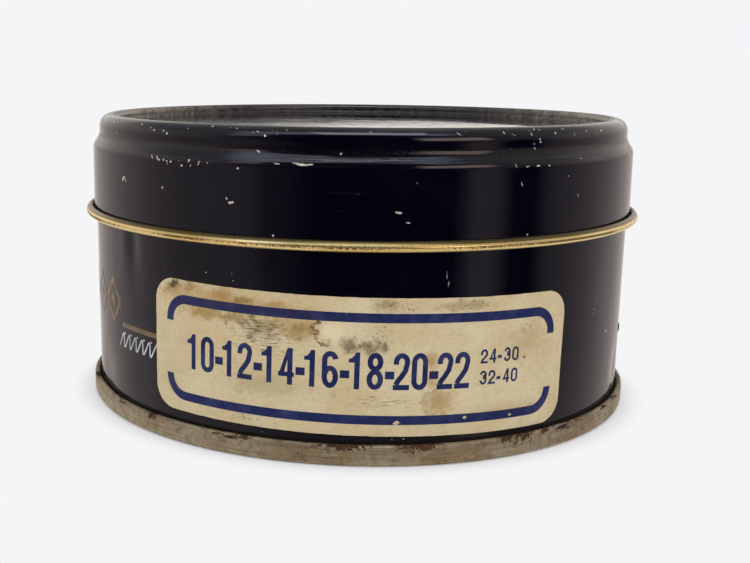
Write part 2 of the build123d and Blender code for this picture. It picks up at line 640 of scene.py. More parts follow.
@dataclass
class Flat:
    """A flat shape of overlapping outlines, in millimetres, that can be bent round the wall."""

    outlines: list[list[Point]] = field(default_factory=list)
    step: float = 0.9

    def add(self, outline: Sequence[Point]) -> None:
        """Adds a closed outline, turned anticlockwise."""
        area = sum(a[0] * b[1] - b[0] * a[1] for a, b in zip(outline, [*outline[1:], outline[0]]))
        self.outlines.append(list(outline) if area > 0 else list(outline)[::-1])

    def block(self, left: float, low: float, right: float, high: float) -> None:
        """Adds an upright rectangle."""
        self.add([(left, low), (right, low), (right, high), (left, high)])

    def stroke(self, path: Sequence[Point], width: float) -> None:
        """Adds the outline of a pen stroke along a path."""
        line = SheetLine(list(path))
        self.add(line.beside(width / 2) + line.beside(-width / 2)[::-1])

    def ring(self, centre: Point, across: float, upright: float, width: float) -> None:
        """Adds a closed ring stroke, whose half sizes reach its middle, as two halves."""
        self.stroke(oval(centre, across, upright, -95, 95), width)
        self.stroke(oval(centre, across, upright, 85, 275), width)

    def moved(self, along: float, up: float) -> list[list[Point]]:
        """Gives the outlines moved along and up."""
        return [[(x + along, y + up) for x, y in outline] for outline in self.outlines]

    def triangles(self) -> tuple[np.ndarray, list[tuple[int, ...]]]:
        """Cuts the shape into triangles narrow enough to bend.

        Returns:
            The flat points and the triangles.
        """
        points, faces, edges = [], [], []
        for outline in self.outlines:
            faces.append(list(range(len(points), len(points) + len(outline))))
            points += outline
        low, high = np.min(points, axis=0), np.max(points, axis=0)
        cuts = max(1, math.ceil((high[0] - low[0]) / self.step))
        for i in range(1, cuts):
            x = low[0] + (high[0] - low[0]) * i / cuts
            edges.append((len(points), len(points) + 1))
            points += [(x, low[1] - 1.0), (x, high[1] + 1.0)]
        corners = [Vector(point) for point in points]
        made, _, cut, _, _, owners = delaunay_2d_cdt(corners, edges, faces, 0, 1e-5, True)
        inside = [face for face, owner in zip(cut, owners) if owner]
        kept = sorted({i for face in inside for i in face})
        order = {old: new for new, old in enumerate(kept)}
        return np.array([made[i][:] for i in kept]), [tuple(order[i] for i in face) for face in inside]

    def plate(self, name: str, bend: Bend, low: float, high: float) -> Mesh:
        """Makes a closed thin plate of the shape.

        Args:
            name: The mesh's name.
            bend: Turns a place along, up and out, in millimetres, into a point in metres.
            low: How far out the back of the plate lies.
            high: How far out its front lies.

        Returns:
            The mesh, which carries 1 at the back and 0 at the front as its edge.
        """
        flat, faces = self.triangles()
        count = len(flat)
        places = [bend(x, y, high) for x, y in flat] + [bend(x, y, low) for x, y in flat]
        sides = dict.fromkeys(pair for face in faces for pair in zip(face, (*face[1:], face[0])))
        walls = [(b, a, a + count, b + count) for a, b in sides if (b, a) not in sides]
        backs = [tuple(i + count for i in face[::-1]) for face in faces]
        mesh = bpy.data.meshes.new(name)
        mesh.from_pydata(places, [], [*faces, *backs, *walls])
        carry(mesh, edge=[0.0] * count + [1.0] * count)
        mesh.validate()
        turn_faces_out(mesh)
        return mesh


def oval(
    centre: Point, across: float, upright: float, start: float, end: float, steps: int = 18
) -> list[Point]:
    """Gives points along part of an oval.

    Args:
        centre: The oval's centre.
        across: Its half width.
        upright: Its half height.
        start: The first angle in degrees, from the right and anticlockwise.
        end: The last angle.
        steps: How many steps it is drawn in.

    Returns:
        The points.
    """
    angles = [math.radians(start + (end - start) * i / steps) for i in range(steps + 1)]
    return [(centre[0] + across * math.cos(a), centre[1] + upright * math.sin(a)) for a in angles]


def on_wall(arc: float, height: float, radius: float, out: float = 0.0) -> Place:
    """Gives the point in metres at an arc and a height on a cylinder about the axis, or out from it."""
    turn, reach = arc / radius, (radius + out) * MM
    return reach * math.sin(turn), -reach * math.cos(turn), height * MM


# Finishes


class Skin(Wiring):
    """A material in the making, with the tin's own coordinates in millimetres."""

    def __init__(self, name: str) -> None:
        """Starts a material and works out where a point lies on the tin.

        Args:
            name: The material's name.
        """
        self.material = bpy.data.materials.new(name)
        self.material.use_nodes = True
        super().__init__(self.material.node_tree)
        self.shader = self.tree.nodes["Principled BSDF"]
        metres = self.value("ShaderNodeTexCoord", output="Object")
        self.place = self.vectors("MULTIPLY", {0: metres, 1: (1 / MM,) * 3})
        x, y, self.height = self.split(self.place)
        self.arc = self.math("ARCTAN2", x, y * -1.0) * ARC_RADIUS
        self.radius = x.hypot(y)

    def attribute(self, name: str) -> Value:
        """Reads a number that the mesh carries."""
        return self.value("ShaderNodeAttribute", output="Fac", attribute_name=name)

    def texture(self, place: Value, scale: float, detail: float, roughness: float) -> Value:
        """Adds a Noise Texture, with values near 0.5."""
        inputs = {"Vector": place, "Scale": scale, "Detail": detail, "Roughness": roughness}
        return self.value("ShaderNodeTexNoise", inputs)

    def noise(self, scale: float, detail: float = 2.0, roughness: float = 0.5, shift: float = 0.0) -> Value:
        """Gives clouds, which a shift in millimetres makes differ from others of their scale."""
        place = self.vectors("ADD", {0: self.place, 1: (shift, -shift, shift * 0.5)})
        return self.texture(place, scale, detail, roughness)

    def drawn(
        self,
        along: float,
        out: float,
        up: float,
        slant: float = 0.0,
        detail: float = 3.0,
        roughness: float = 0.6,
    ) -> Value:
        """Gives clouds that are drawn out into streaks.

        Args:
            along: Their scale round the wall.
            out: Their scale outwards.
            up: Their scale upwards.
            slant: How much the height shears the arc.
            detail: How many finer layers they have.
            roughness: How strong the finer layers are.

        Returns:
            A value near 0.5.
        """
        place = self.vector((self.arc + self.height * slant) * along, self.radius * out, self.height * up)
        return self.texture(place, 1.0, detail, roughness)

    def blot(self, arc: float, height: float, across: float, upright: float, ragged: Value) -> Value:
        """Gives the distance from a blot's middle, where its edge is 1, plus what makes the edge ragged."""
        return ((self.arc - arc) / across).hypot((self.height - height) / upright) + ragged

    def specks(self, scale: float, size: float, share: float) -> Value:
        """Gives small dots.

        Args:
            scale: How many cells there are in a millimetre.
            size: The dots' radius as a share of a cell.
            share: The share of the cells that hold one.

        Returns:
            1 in a dot and 0 elsewhere.
        """
        cells = self.node("ShaderNodeTexVoronoi", {"Vector": self.place, "Scale": scale}).outputs
        lot, _, _ = self.split(Value(self, cells["Color"]))
        return Value(self, cells["Distance"]).span(size, size * 0.6) * (lot > 1 - share)

    def relief(self, height: Value, depth: float, strength: float) -> None:
        """Gives the surface a relief, whose 1 is so many millimetres deep, at a strength from 0 to 1."""
        bump = {"Strength": strength, "Distance": depth * MM, "Height": height}
        self.feed(self.shader.inputs["Normal"], self.value("ShaderNodeBump", bump))

    def finish(self, **sockets: object) -> Material:
        """Sets the shader's inputs, by their names in small letters, and gives the material.

        Args:
            sockets: What each input gets.

        Returns:
            The material.
        """
        names = {socket.name.lower().replace(" ", "_"): socket for socket in self.shader.inputs}
        for name, value in sockets.items():
            self.feed(names[name], value)
        return self.material


@dataclass(frozen=True)
class NavyEnamel:
    """Glossy navy enamel over tinplate, chipped on its edges and lightly scratched."""

    colour: Colour = screen(3, 3, 14)
    faded: Colour = screen(12, 11, 24)
    # the colour of dust and scratches, and also of the painted highlight streaks on the shoulder and crest
    dust_and_highlight: Colour = screen(96, 90, 90)
    # painted reflection: the pale colour laid over the dust on the bead's inner wall
    painted_sheen: Colour = screen(196, 184, 164)
    bared: Colour = screen(186, 178, 160)
    tarnish: Colour = screen(120, 108, 88)
    dirt: Colour = screen(24, 16, 9)
    # where the painted reflection on the bead's inner wall fades out towards the back
    painted_sheen_arc: Point = (158.0, 112.0)
    shoulder_low: Point = (54.9, 55.8)
    shoulder_high: Point = (57.8, 57.0)
    crest_edge: Point = (60.9, 61.6)
    bead_near: Point = (52.8, 53.7)
    bead_far: Point = (55.8, 55.2)
    bead_height: Point = (56.0, 58.0)
    foot_edge: Point = (4.75, 4.4)
    chip_edge: Point = (0.805, 0.815)
    rub_share: float = 0.13

    def material(self) -> Material:
        """Builds the material.

        Returns:
            The material.
        """
        skin = Skin("navy_enamel")
        clouds, grain = skin.noise(0.05, 4.0, 0.6), skin.noise(1.6, 3.0, 0.6)
        sideways = skin.drawn(0.05, 0.4, 2.6, 0.6).span(0.66, 0.72)
        steep = skin.drawn(2.2, 0.4, 0.12, 0.35).span(0.69, 0.74)
        scratches = (sideways | steep) * skin.noise(0.07, shift=40.0).span(0.45, 0.65)
        flaking = skin.noise(0.85, 4.0, 0.62, shift=11.0) + skin.attribute("rub") * self.rub_share
        chips = flaking.span(*self.chip_edge)

        on_shoulder = skin.height.span(*self.shoulder_low) * skin.height.span(*self.shoulder_high)
        on_crest = skin.height.span(*self.crest_edge)
        # Thin lighter streaks on the shoulder and the bead's crest: rubbed streaks, and in part a painted
        # highlight along these rounds.
        rub_streaks_and_highlight = (on_shoulder | on_crest) * skin.drawn(0.05, 0.3, 1.3, detail=4.0).span(0.50, 0.62)
        on_bead = skin.radius.span(*self.bead_near) * skin.radius.span(*self.bead_far)
        on_bead = on_bead * skin.height.span(*self.bead_height)
        dusty = on_bead * skin.noise(0.5, 5.0, 0.7).span(0.3, 0.65, 0.25, 1.0)
        foot = skin.height.span(*self.foot_edge) * grain.span(0.30, 0.55, 0.5, 1.0)
        dirty = skin.attribute("grime") * grain.span(0.35, 0.6) | foot

        colour = skin.coats(
            self.colour,
            (clouds.span(0.35, 0.75, 0.0, 0.45), self.faded),
            # partly painted highlight: lighter streaks on the shoulder and crest
            (rub_streaks_and_highlight * 0.16, self.dust_and_highlight),
            (dusty * 0.42, self.dust_and_highlight),
            # Painted reflection: lightens the dust on the bead's inner wall along the front and sides, none
            # at the back.
            (dusty * 0.40 * abs(skin.arc).span(*self.painted_sheen_arc), self.painted_sheen),
            (scratches * 0.10, self.dust_and_highlight),
            (skin.specks(0.45, 0.055, 0.16) * 0.5, self.dust_and_highlight),
            (dirty, self.dirt),
            (chips, skin.coats(self.bared, (grain.span(0.35, 0.7), self.tarnish))),
        )
        smears = clouds.span(0.3, 0.8, 0.02, 0.07)
        roughness = smears + scratches * 0.12 + rub_streaks_and_highlight * 0.16 + dusty * 0.25 + dirty * 0.5
        peel = skin.noise(0.35, 1.0) * 0.6
        skin.relief(peel - chips * 0.9 - scratches * 0.15 - rub_streaks_and_highlight * 0.8, 0.03, 0.5)
        return skin.finish(base_color=colour, roughness=chips.mix(roughness, 0.5), metallic=chips * 0.35)


@dataclass(frozen=True)
class GoldLacquer:
    """Gold lacquer on tinplate: the inside of the tin, and the lid's edge that is rolled outwards."""

    colour: Colour = screen(252, 230, 164)
    deep: Colour = screen(232, 200, 126)
    scraped: Colour = screen(64, 48, 24)
    # painted shade: the colour that darkens the top of the rolled edge, in the crease under the skirt
    crease_shade: Colour = screen(64, 50, 10)
    dirt: Colour = screen(34, 24, 10)
    roll_height: float = 41.25
    on_roll: Point = (60.2, 60.8)
    line_drop: float = 0.17
    line_edge: Point = (0.30, 0.12)
    crease_shade_edge: Point = (41.61, 41.79)

    def material(self) -> Material:
        """Builds the material.

        Returns:
            The material.
        """
        skin = Skin("gold_lacquer")
        tone = skin.drawn(0.08, 0.4, 0.5, detail=4.0)
        grain = skin.noise(2.2, 3.0, 0.65)
        on_roll = skin.radius.span(*self.on_roll)
        line = abs(skin.height - (self.roll_height - self.line_drop)).span(*self.line_edge) * on_roll
        # Painted shade: the top of the rolled edge, in the crease under the skirt, is darkened.
        crease_shade = skin.height.span(*self.crease_shade_edge) * on_roll
        stretch = skin.drawn(0.035, 0.0, 0.0, detail=1.0, roughness=0.5)
        broken = skin.drawn(1.5, 0.0, 3.2, detail=4.0, roughness=0.7) + stretch.span(0.38, 0.62, -0.10, 0.12)
        nicks = skin.drawn(0.9, 0.5, 2.0, roughness=0.7).span(0.67, 0.71)
        scraped = line * broken.span(0.46, 0.52) | nicks * 0.6
        dirty = skin.attribute("grime") * grain.span(0.25, 0.5)
        colour = skin.coats(
            self.colour,
            (tone.span(0.35, 0.7), self.deep),
            # painted shade over the top of the rolled edge
            (crease_shade * 0.85, self.crease_shade),
            (scraped * 0.80, self.scraped),
            (dirty * 0.95, self.dirt),
        )
        roughness = (dirty | scraped).mix(grain.span(0.3, 0.8, 0.20, 0.34), 0.62)
        skin.relief(grain * 0.35 - scraped * 0.5, 0.03, 0.5)
        return skin.finish(base_color=colour, roughness=roughness, metallic=0.86 - dirty * 0.8)


@dataclass(frozen=True)
class AgedTinplate:
    """Bare tinplate gone dull: grey-beige, brown in patches, with rust along the seam's upper edge."""

    colour: Colour = screen(186, 174, 146)
    brown: Colour = screen(158, 136, 102)
    shade: Colour = screen(70, 58, 40)
    pale: Colour = screen(216, 198, 164)
    brushed: Colour = screen(92, 80, 58)
    rust: Colour = screen(62, 36, 12)
    dirt: Colour = screen(22, 15, 8)
    orange: Colour = screen(128, 76, 14)
    seam_inside: Point = (56.8, 58.2)
    seam_edge: Point = (2.3, 4.0)
    wobble: float = 5.0
    rust_patches: tuple[tuple[float, ...], ...] = (
        (-1.5, 3.8, 1), (10.8, 1.7, 0.8), (12.2, 3.8, 1.2), (29.6, 1.9, 1), (33.6, 2.6, 1.6), (39, 1.2, 0.8),
        (-20.5, 1.6, 0.8), (-43, 1.4, 1), (112, 4, 1.4), (-140, 3.4, 1.4),
    )

    def material(self) -> Material:
        """Builds the material.

        Returns:
            The material.
        """
        skin = Skin("aged_tinplate")
        on_seam = skin.radius.span(*self.seam_inside)
        patches, mottle = skin.noise(0.09, 4.0, 0.6), skin.noise(0.8, 5.0, 0.68)
        fine = skin.noise(3.5, 3.0, 0.6, shift=7.0)
        pale = skin.drawn(0.25, 0.3, 1.6, detail=4.0, roughness=0.7).span(0.60, 0.72) * on_seam
        eaten = skin.height.span(*self.seam_edge) * 0.13
        eaten = skin.drawn(0.14, 0.2, 0.7, detail=5.0, roughness=0.72) + eaten
        rusted = on_seam.mix(skin.noise(0.5, 5.0, 0.70, shift=5.0), eaten).span(0.66, 0.74)
        colour = skin.coats(
            self.colour,
            (patches.span(0.38, 0.66, 0.1, 0.9), self.brown),
            (mottle.span(0.46, 0.74, 0.0, 0.50), self.shade),
            (pale * 0.75, self.pale),
            (rusted, skin.coats(self.rust, (fine.span(0.4, 0.6), self.dirt))),
        )
        wobble = (skin.noise(1.3, 5.0, 0.7, shift=9.0) - 0.5) * self.wobble
        oxide = skin.coats(self.rust, (0.6, self.dirt), (fine.span(0.50, 0.60), self.orange))
        for arc, across, upright in self.rust_patches:
            bloom = skin.blot(arc, SEAM_TOP, across, upright, wobble).span(1.0, 0.85) * on_seam
            colour = skin.coats(colour, (bloom, oxide))
            rusted = rusted | bloom
        brushed = skin.drawn(0.08, 0.3, 4.0).span(0.52, 0.62) * on_seam
        pits = skin.specks(0.9, 0.16, 0.25)
        dirty = skin.attribute("grime") * mottle.span(0.25, 0.55, 0.55, 1.0)
        colour = skin.coats(colour, (brushed * 0.40, self.brushed), (pits * 0.6, self.dirt))
        colour = skin.coats(colour, (dirty, self.dirt))
        dull = rusted | dirty
        roughness = dull.mix(mottle.span(0.3, 0.75, 0.40, 0.62), 0.85)
        skin.relief(mottle * 0.5 + fine * 0.25 - pits * 0.3, 0.12, 0.6)
        return skin.finish(base_color=colour, roughness=roughness, metallic=dull.mix(0.72, 0.05))


class Mark(Enum):
    """The kinds of mark on the paper."""

    SMOOTH = "smooth"
    HATCHED = "hatched"
    SPECKLED = "speckled"


@dataclass(frozen=True)
class Stain:
    """A blot on the paper, by its place, half sizes and colour, and the strength of its tide line."""

    arc: float
    height: float
    across: float
    upright: float
    levels: tuple[int, int, int]
    strength: float
    ragged: float = 1.0
    mark: Mark = Mark.SMOOTH
    tide: float = 0.0


@dataclass(frozen=True)
class AgedPaper:
    """Cream label paper: yellowed, stained and rubbed, and the ink that is printed on it."""

    colour: Colour = screen(214, 198, 162)
    yellowed: Colour = screen(203, 180, 136)
    fibre: Colour = screen(146, 122, 82)
    foxed: Colour = screen(158, 132, 86)
    bleached: Colour = screen(228, 214, 182)
    cut_edge: Colour = screen(168, 140, 96)
    speckle: Colour = screen(92, 72, 42)
    ink: Colour = screen(12, 27, 84)
    worn_ink: Colour = screen(54, 64, 108)
    tide_line: Colour = screen(104, 76, 38)
    shine: float = 0.32
    full_strength: float = 1.3
    stain_break: float = 2.7
    stain_edge: Point = (1.30, 0.15)
    tide_reach: float = 0.98
    tide_edge: Point = (0.22, 0.05)
    stains: tuple[Stain, ...] = (
        Stain(-27, 29.6, 15, 3.2, (180, 148, 90), 0.52, 0.9),
        Stain(-12.5, 27.4, 8.5, 3, (182, 152, 98), 0.45, 0.8),
        Stain(-36.6, 30.6, 3.6, 2.2, (168, 130, 70), 0.55, 0.8),
        Stain(-37.2, 31.4, 2, 1, (84, 68, 46), 0.70, 1.1),
        Stain(-33.6, 31.2, 2.2, 1.9, (150, 116, 70), 0.45, 0.9),
        Stain(-25.2, 30.5, 3.2, 1.9, (166, 128, 72), 0.62, 0.9),
        Stain(-21.6, 29.9, 2.2, 1, (126, 98, 54), 0.55, 1.1),
        Stain(-29.4, 26.9, 6, 1.7, (160, 128, 72), 0.62, 0.9),
        Stain(-22.6, 26.6, 3.8, 1.4, (142, 116, 68), 0.55, 1.1),
        Stain(-15.2, 29.7, 3.6, 0.9, (168, 132, 78), 0.55, 0.9),
        Stain(-17.6, 25.2, 4.8, 2.9, (118, 100, 62), 0.42, 1.2),
        Stain(-17.4, 24.2, 5.4, 3.6, (78, 66, 42), 0.75, 1.1, Mark.HATCHED),
        Stain(-15, 20.6, 3.6, 2.4, (96, 82, 54), 0.45, 1.2, Mark.HATCHED),
        Stain(-9.6, 25.5, 5.2, 2, (150, 118, 64), 0.62, 0.9),
        Stain(-4.4, 25.4, 2.9, 2.6, (226, 210, 174), 0.75, 0.7, tide=0.75),
        Stain(-1, 23, 1.7, 1.7, (104, 80, 48), 0.55, 1.2),
        Stain(5.2, 30.3, 2.5, 1.6, (64, 48, 28), 1, 0.9, Mark.SPECKLED),
        Stain(5.2, 30.5, 2.3, 1.3, (128, 104, 64), 0.40, 1),
        Stain(9.8, 30.2, 3.6, 1.3, (88, 72, 48), 0.75, 0.9, Mark.SPECKLED),
        Stain(21.4, 30, 5, 1.3, (88, 70, 44), 0.95, 0.9, Mark.SPECKLED),
        Stain(20, 30.1, 6, 1.2, (140, 116, 76), 0.42, 1),
        Stain(4.6, 24.6, 2, 2.4, (60, 46, 28), 0.95, 0.9, Mark.SPECKLED),
        Stain(2.8, 22.6, 3.6, 1.6, (110, 88, 58), 0.55, 1.3),
        Stain(2.8, 22.4, 3.4, 1.5, (60, 46, 30), 0.90, 1, Mark.SPECKLED),
        Stain(14, 20, 1.3, 1.8, (168, 126, 66), 0.60, 0.7),
        Stain(14.6, 16.4, 1.3, 2.4, (168, 130, 72), 0.42, 0.8),
        Stain(15.8, 12, 3.3, 2.6, (164, 128, 72), 0.55, 0.9, tide=0.3),
        Stain(34.6, 25, 2.8, 1.7, (64, 50, 32), 0.95, 0.9, Mark.SPECKLED),
        Stain(33.6, 19.1, 0.42, 0.34, (40, 32, 24), 1, 0.25),
        Stain(33.5, 22, 6, 3.5, (176, 150, 108), 0.40, 1.2),
        Stain(-16, 14.6, 10, 2.8, (150, 130, 94), 0.30, 1.3),
        Stain(-20.6, 7.6, 4.4, 0.9, (84, 72, 50), 0.85, 1, Mark.SPECKLED),
        Stain(6, 12.2, 7, 1.6, (120, 104, 76), 0.60, 1.2, Mark.HATCHED),
        Stain(30, 9.4, 9, 1.6, (178, 150, 106), 0.30, 1.1), Stain(-38, 14, 3, 5, (196, 178, 132), 0.35, 1.1),
    )
    rubbed_through: tuple[tuple[float, ...], ...] = ((7.9, 8.2, 0.55), (21.0, 8.7, 0.4), (30.8, 8.1, 0.32))

    def worn(self, skin: Skin) -> tuple[Value, Value]:
        """Builds the aged paper's colour.

        Args:
            skin: The material that it goes into.

        Returns:
            The colour, and how dirty each place is.
        """
        blotchy, broken = skin.noise(0.11, 4.0, 0.6), skin.noise(0.55, 5.0, 0.66)
        fibres = skin.drawn(0.8, 0.5, 2.4, 0.4, detail=4.0, roughness=0.65)
        colour = skin.coats(
            self.colour,
            (blotchy.span(0.36, 0.68, 0.0, 0.75), self.yellowed),
            (fibres.span(0.50, 0.75, 0.0, 0.22), self.fibre),
            (broken.span(0.50, 0.74, 0.0, 0.24), self.foxed),
            (fibres.span(0.48, 0.25, 0.0, 0.25), self.bleached),
        )
        dirty = fibres.span(0.6, 0.8, 0.0, 0.2)
        masks = {
            Mark.SMOOTH: 1.0,
            Mark.HATCHED: skin.drawn(0.42, 0.2, 3.4, 1.1).span(0.52, 0.60),
            Mark.SPECKLED: skin.noise(2.3, 5.0, 0.8, shift=43.0).span(0.52, 0.62),
        }
        for stain in self.stains:
            ragged = (broken - 0.5) * (self.stain_break * stain.ragged)
            away = skin.blot(stain.arc, stain.height, stain.across, stain.upright, ragged)
            levels = (stain.strength, stain.tide)
            strength, tide_strength = (min(1.0, level * self.full_strength) for level in levels)
            mask = away.span(*self.stain_edge, 0.0, strength) * masks[stain.mark]
            colour = skin.coats(colour, (mask, screen(*stain.levels)))
            if stain.tide:
                tide = abs(away - self.tide_reach).span(*self.tide_edge, 0.0, tide_strength)
                tide = tide * (skin.arc - (stain.arc - stain.across * 0.1)).span(0.6, -0.6)
                colour = skin.coats(colour, (tide * fibres.span(0.38, 0.56, 0.35, 1.0), self.tide_line))
            dirty = dirty | mask
        spots = skin.noise(1.25, 6.0, 0.72, shift=23.0).span(0.62, 0.70)
        spots = spots * skin.noise(0.12, shift=5.0).span(0.38, 0.60, 0.35, 1.0)
        upper = skin.height.span(20.0, 31.0, 0.18, 0.75) * skin.noise(0.10, shift=17.0).span(0.42, 0.60)
        spots = spots | skin.noise(2.4, 4.0, 0.8, shift=61.0).span(0.60, 0.69) * upper
        return skin.coats(colour, (spots * 0.75, self.speckle)), dirty | spots

    def paper(self) -> Material:
        """Builds the paper's material.

        Returns:
            The material.
        """
        skin = Skin("aged_paper")
        colour, dirty = self.worn(skin)
        colour = skin.coats(colour, (skin.attribute("edge") * 0.45, self.cut_edge))
        crinkle = skin.drawn(0.35, 0.3, 1.1, -0.5, detail=5.0, roughness=0.62)
        skin.relief(crinkle - dirty * 0.25, 0.10, 0.55)
        roughness = dirty.span(0.0, 0.7, 0.52, 0.78)
        return skin.finish(base_color=colour, roughness=roughness, specular_ior_level=self.shine)

    def printing(self) -> Material:
        """Builds the printed ink's material, which lets the paper through where it is rubbed.

        Returns:
            The material.
        """
        skin = Skin("label_ink")
        colour, dirty = self.worn(skin)
        patchy = skin.noise(0.28, 5.0, 0.7).span(0.42, 0.70, 0.0, 0.60)
        ink = skin.coats(self.ink, (patchy, self.worn_ink), (dirty * 0.25, self.speckle))
        flecks = skin.noise(1.7, 5.0, 0.75, shift=31.0).span(0.665, 0.73, 0.0, 0.7)
        bare = flecks | skin.noise(0.42, 5.0, 0.7, shift=3.0).span(0.70, 0.76)
        wobble = (skin.noise(1.6, 3.0) - 0.5) * 2.0
        for arc, height, size in self.rubbed_through:
            bare = bare | skin.blot(arc, height, size, size * 0.8, wobble).span(1.05, 0.85)
        colour = skin.coats(ink, (bare * 0.85, colour))
        skin.relief(skin.noise(1.4, 4.0), 0.03, 0.5)
        return skin.finish(base_color=colour, roughness=bare.mix(0.42, 0.7), specular_ior_level=self.shine)


@dataclass(frozen=True)
class WallPrint:
    """Printing straight on the enamel, rubbed thin in places."""

    name: str
    colour: Colour
    wear: float

    def material(self) -> Material:
        """Builds the material.

        Returns:
            The material.
        """
        skin = Skin(self.name)
        thin = skin.noise(0.9, 5.0, 0.7)
        darker = tuple(part * 0.6 for part in self.colour)
        shade = skin.noise(0.25, 3.0).span(0.4, 0.65)
        worn = thin.span(0.55, 0.72, 0.0, self.wear)
        colour = skin.coats(self.colour, (shade, darker), (worn, NavyEnamel.colour))
        skin.relief(thin, 0.015, 0.5)
        return skin.finish(base_color=colour, roughness=thin.span(0.4, 0.7, 0.2, 0.35))


@dataclass(frozen=True)
class BaredMetal:
    """Primer and tinplate where the enamel has come off."""

    name: str
    colour: Colour
    dull: Colour
    metallic: float

    def material(self) -> Material:
        """Builds the material.

        Returns:
            The material.
        """
        skin = Skin(self.name)
        tone = skin.noise(1.7, 4.0, 0.65)
        colour = skin.coats(self.colour, (tone.span(0.38, 0.66), self.dull))
        skin.relief(tone, 0.04, 0.6)
        roughness = tone.span(0.3, 0.7, 0.35, 0.6)
        return skin.finish(base_color=colour, roughness=roughness, metallic=self.metallic)


class Finishes:
    """Every finish of the tin, made once and shared by its pieces."""

    def __init__(self) -> None:
        """Builds the materials."""
        self.enamel = NavyEnamel().material()
        self.gold = GoldLacquer().material()
        self.tinplate = AgedTinplate().material()
        self.paper = AgedPaper().paper()
        self.ink = AgedPaper().printing()
        self.gilding = WallPrint("gold_printing", screen(116, 92, 62), 0.75).material()
        self.white = WallPrint("white_printing", screen(218, 220, 226), 0.35).material()
        self.bared = BaredMetal("bared_metal", screen(222, 218, 204), screen(160, 150, 130), 0.12).material()
        self.scuff = BaredMetal("pale_scuff", screen(150, 150, 156), screen(84, 82, 88), 0.0).material()


# The tin's pieces


@dataclass(frozen=True)
class TinSizes:
    """Sizes that several pieces share, in millimetres: the frame gives the overall ones."""

    height: float
    lid_foot: float
    rim_top: float
    wall_radius: float
    wall_sheet: float = 0.30
    end_sheet: float = 0.30
    lid_sheet: float = 0.25
    label_paper: float = 0.15
    glue_gap: float = 0.05
    lid_clearance: float = 0.20
    floor_height: float = 4.4

    @classmethod
    def from_frame(cls) -> "TinSizes":
        """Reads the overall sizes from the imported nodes.

        Returns:
            The sizes.
        """
        lid_low, lid_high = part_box("lid")
        wall_radius = -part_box("label")[0].y / MM - cls.label_paper - cls.glue_gap
        return cls(lid_high.z / MM, lid_low.z / MM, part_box("tin_wall")[1].z / MM, wall_radius)

    @property
    def wall_middle(self) -> float:
        """The radius of the wall's middle line."""
        return self.wall_radius - self.wall_sheet / 2


class Workshop:
    """What the pieces are made with: sizes, finishes, the tin's unevenness and the lathe."""

    def __init__(self) -> None:
        """Reads the sizes, and builds the finishes and the tree."""
        self.finishes = Finishes()
        self.form = Unevenness()
        self.sizes = TinSizes.from_frame()
        self.lathe = LatheTree()

    def settle(self, piece: Piece, body: Body, slot: Slot, *nodes: str) -> Piece:
        """Fits a piece to the tin's unevenness and hands it over."""
        return hand_over(self.form.settle(piece, body), body, slot, *nodes)

    def lay(self, name: str, shape: Flat, bend: Bend, low: float, high: float, finish: Material) -> Piece:
        """Makes a plate of a flat shape.

        Args:
            name: The piece's name.
            shape: The flat shape.
            bend: What gives its points their places, as Flat.plate says.
            low: How far out its back lies.
            high: How far out its front lies.
            finish: Its finish.

        Returns:
            The plate.
        """
        mesh = shape.plate(name, bend, low, high)
        mesh.materials.append(finish)
        return new_object(name, mesh)


@dataclass
class Lid:
    """The slip lid: a sunk panel, a raised bead, a stepped shoulder, and a skirt rolled outwards."""

    shop: Workshop
    panel_recess: float = 2.2
    bead_width: float = 3.6
    ring_drop: float = 4.4
    step_drop: float = 2.15
    skirt_step: float = 1.45
    skirt_flare: float = 0.13
    rounds: tuple[float, ...] = (0.90, 1.10, 2.40, 2.80, 1.90)
    roll_radius: float = 0.82
    roll: tuple[Point, ...] = ((0.86, 168.0), (0.42, 51.0), (2.2, 10.0), (0.95, 55.0))

    def line(self) -> SheetLine:
        """Gives the middle line of the lid's sheet.

        Returns:
            The line.
        """
        sizes = self.shop.sizes
        half = sizes.lid_sheet / 2
        crest = sizes.height - half
        skirt = sizes.wall_radius + sizes.lid_clearance + half
        ring = skirt - self.skirt_step
        bead = ring - self.bead_width
        panel, step_top = crest - self.panel_recess, sizes.height - self.ring_drop
        roll_start = (skirt + self.skirt_flare, sizes.lid_foot + self.roll_radius + half)
        corners = [(0.0, panel), (bead, panel), (bead, crest), (ring, crest), (ring, step_top)]
        line = SheetLine.folded([*corners, (skirt, step_top - self.step_drop), roll_start], self.rounds)
        for radius, degrees in self.roll:
            line.curl(radius, math.radians(degrees))
        return line

    def build(self) -> Piece:
        """Builds the lid's shell.

        Returns:
            The shell.
        """
        sizes, finishes = self.shop.sizes, self.shop.finishes
        top, skirt = sizes.height, sizes.wall_radius + sizes.lid_clearance
        shoulder = top - self.ring_drop - self.step_drop
        roll = sizes.lid_foot + self.roll_radius
        rubbed = (
            Exposed(skirt - 1.9, top - 0.3, 2.0),
            Exposed(skirt - 4.7, top - 0.1, 1.4, 0.8),
            Exposed(skirt + 0.1, shoulder + 0.2, 1.8, 0.75),
            Exposed(skirt + 0.3, roll + 1.6, 0.9, 0.6),
        )
        grimy = (
            Exposed(skirt + 0.45, roll + 1.05, 0.62),
            Exposed(skirt - 5.0, top - self.panel_recess, 0.9, 0.9),
            Exposed(skirt - 1.3, top - self.ring_drop + 0.1, 0.7, 0.5),
        )
        sheet = TurnedSheet(self.line(), sizes.lid_sheet, Face.OUTSIDE, rubbed, grimy)
        piece = sheet.build(self.shop.lathe, "lid_shell", finishes.enamel, finishes.gold)
        return self.shop.settle(piece, Body.LID, Slot.ENAMEL, "lid")


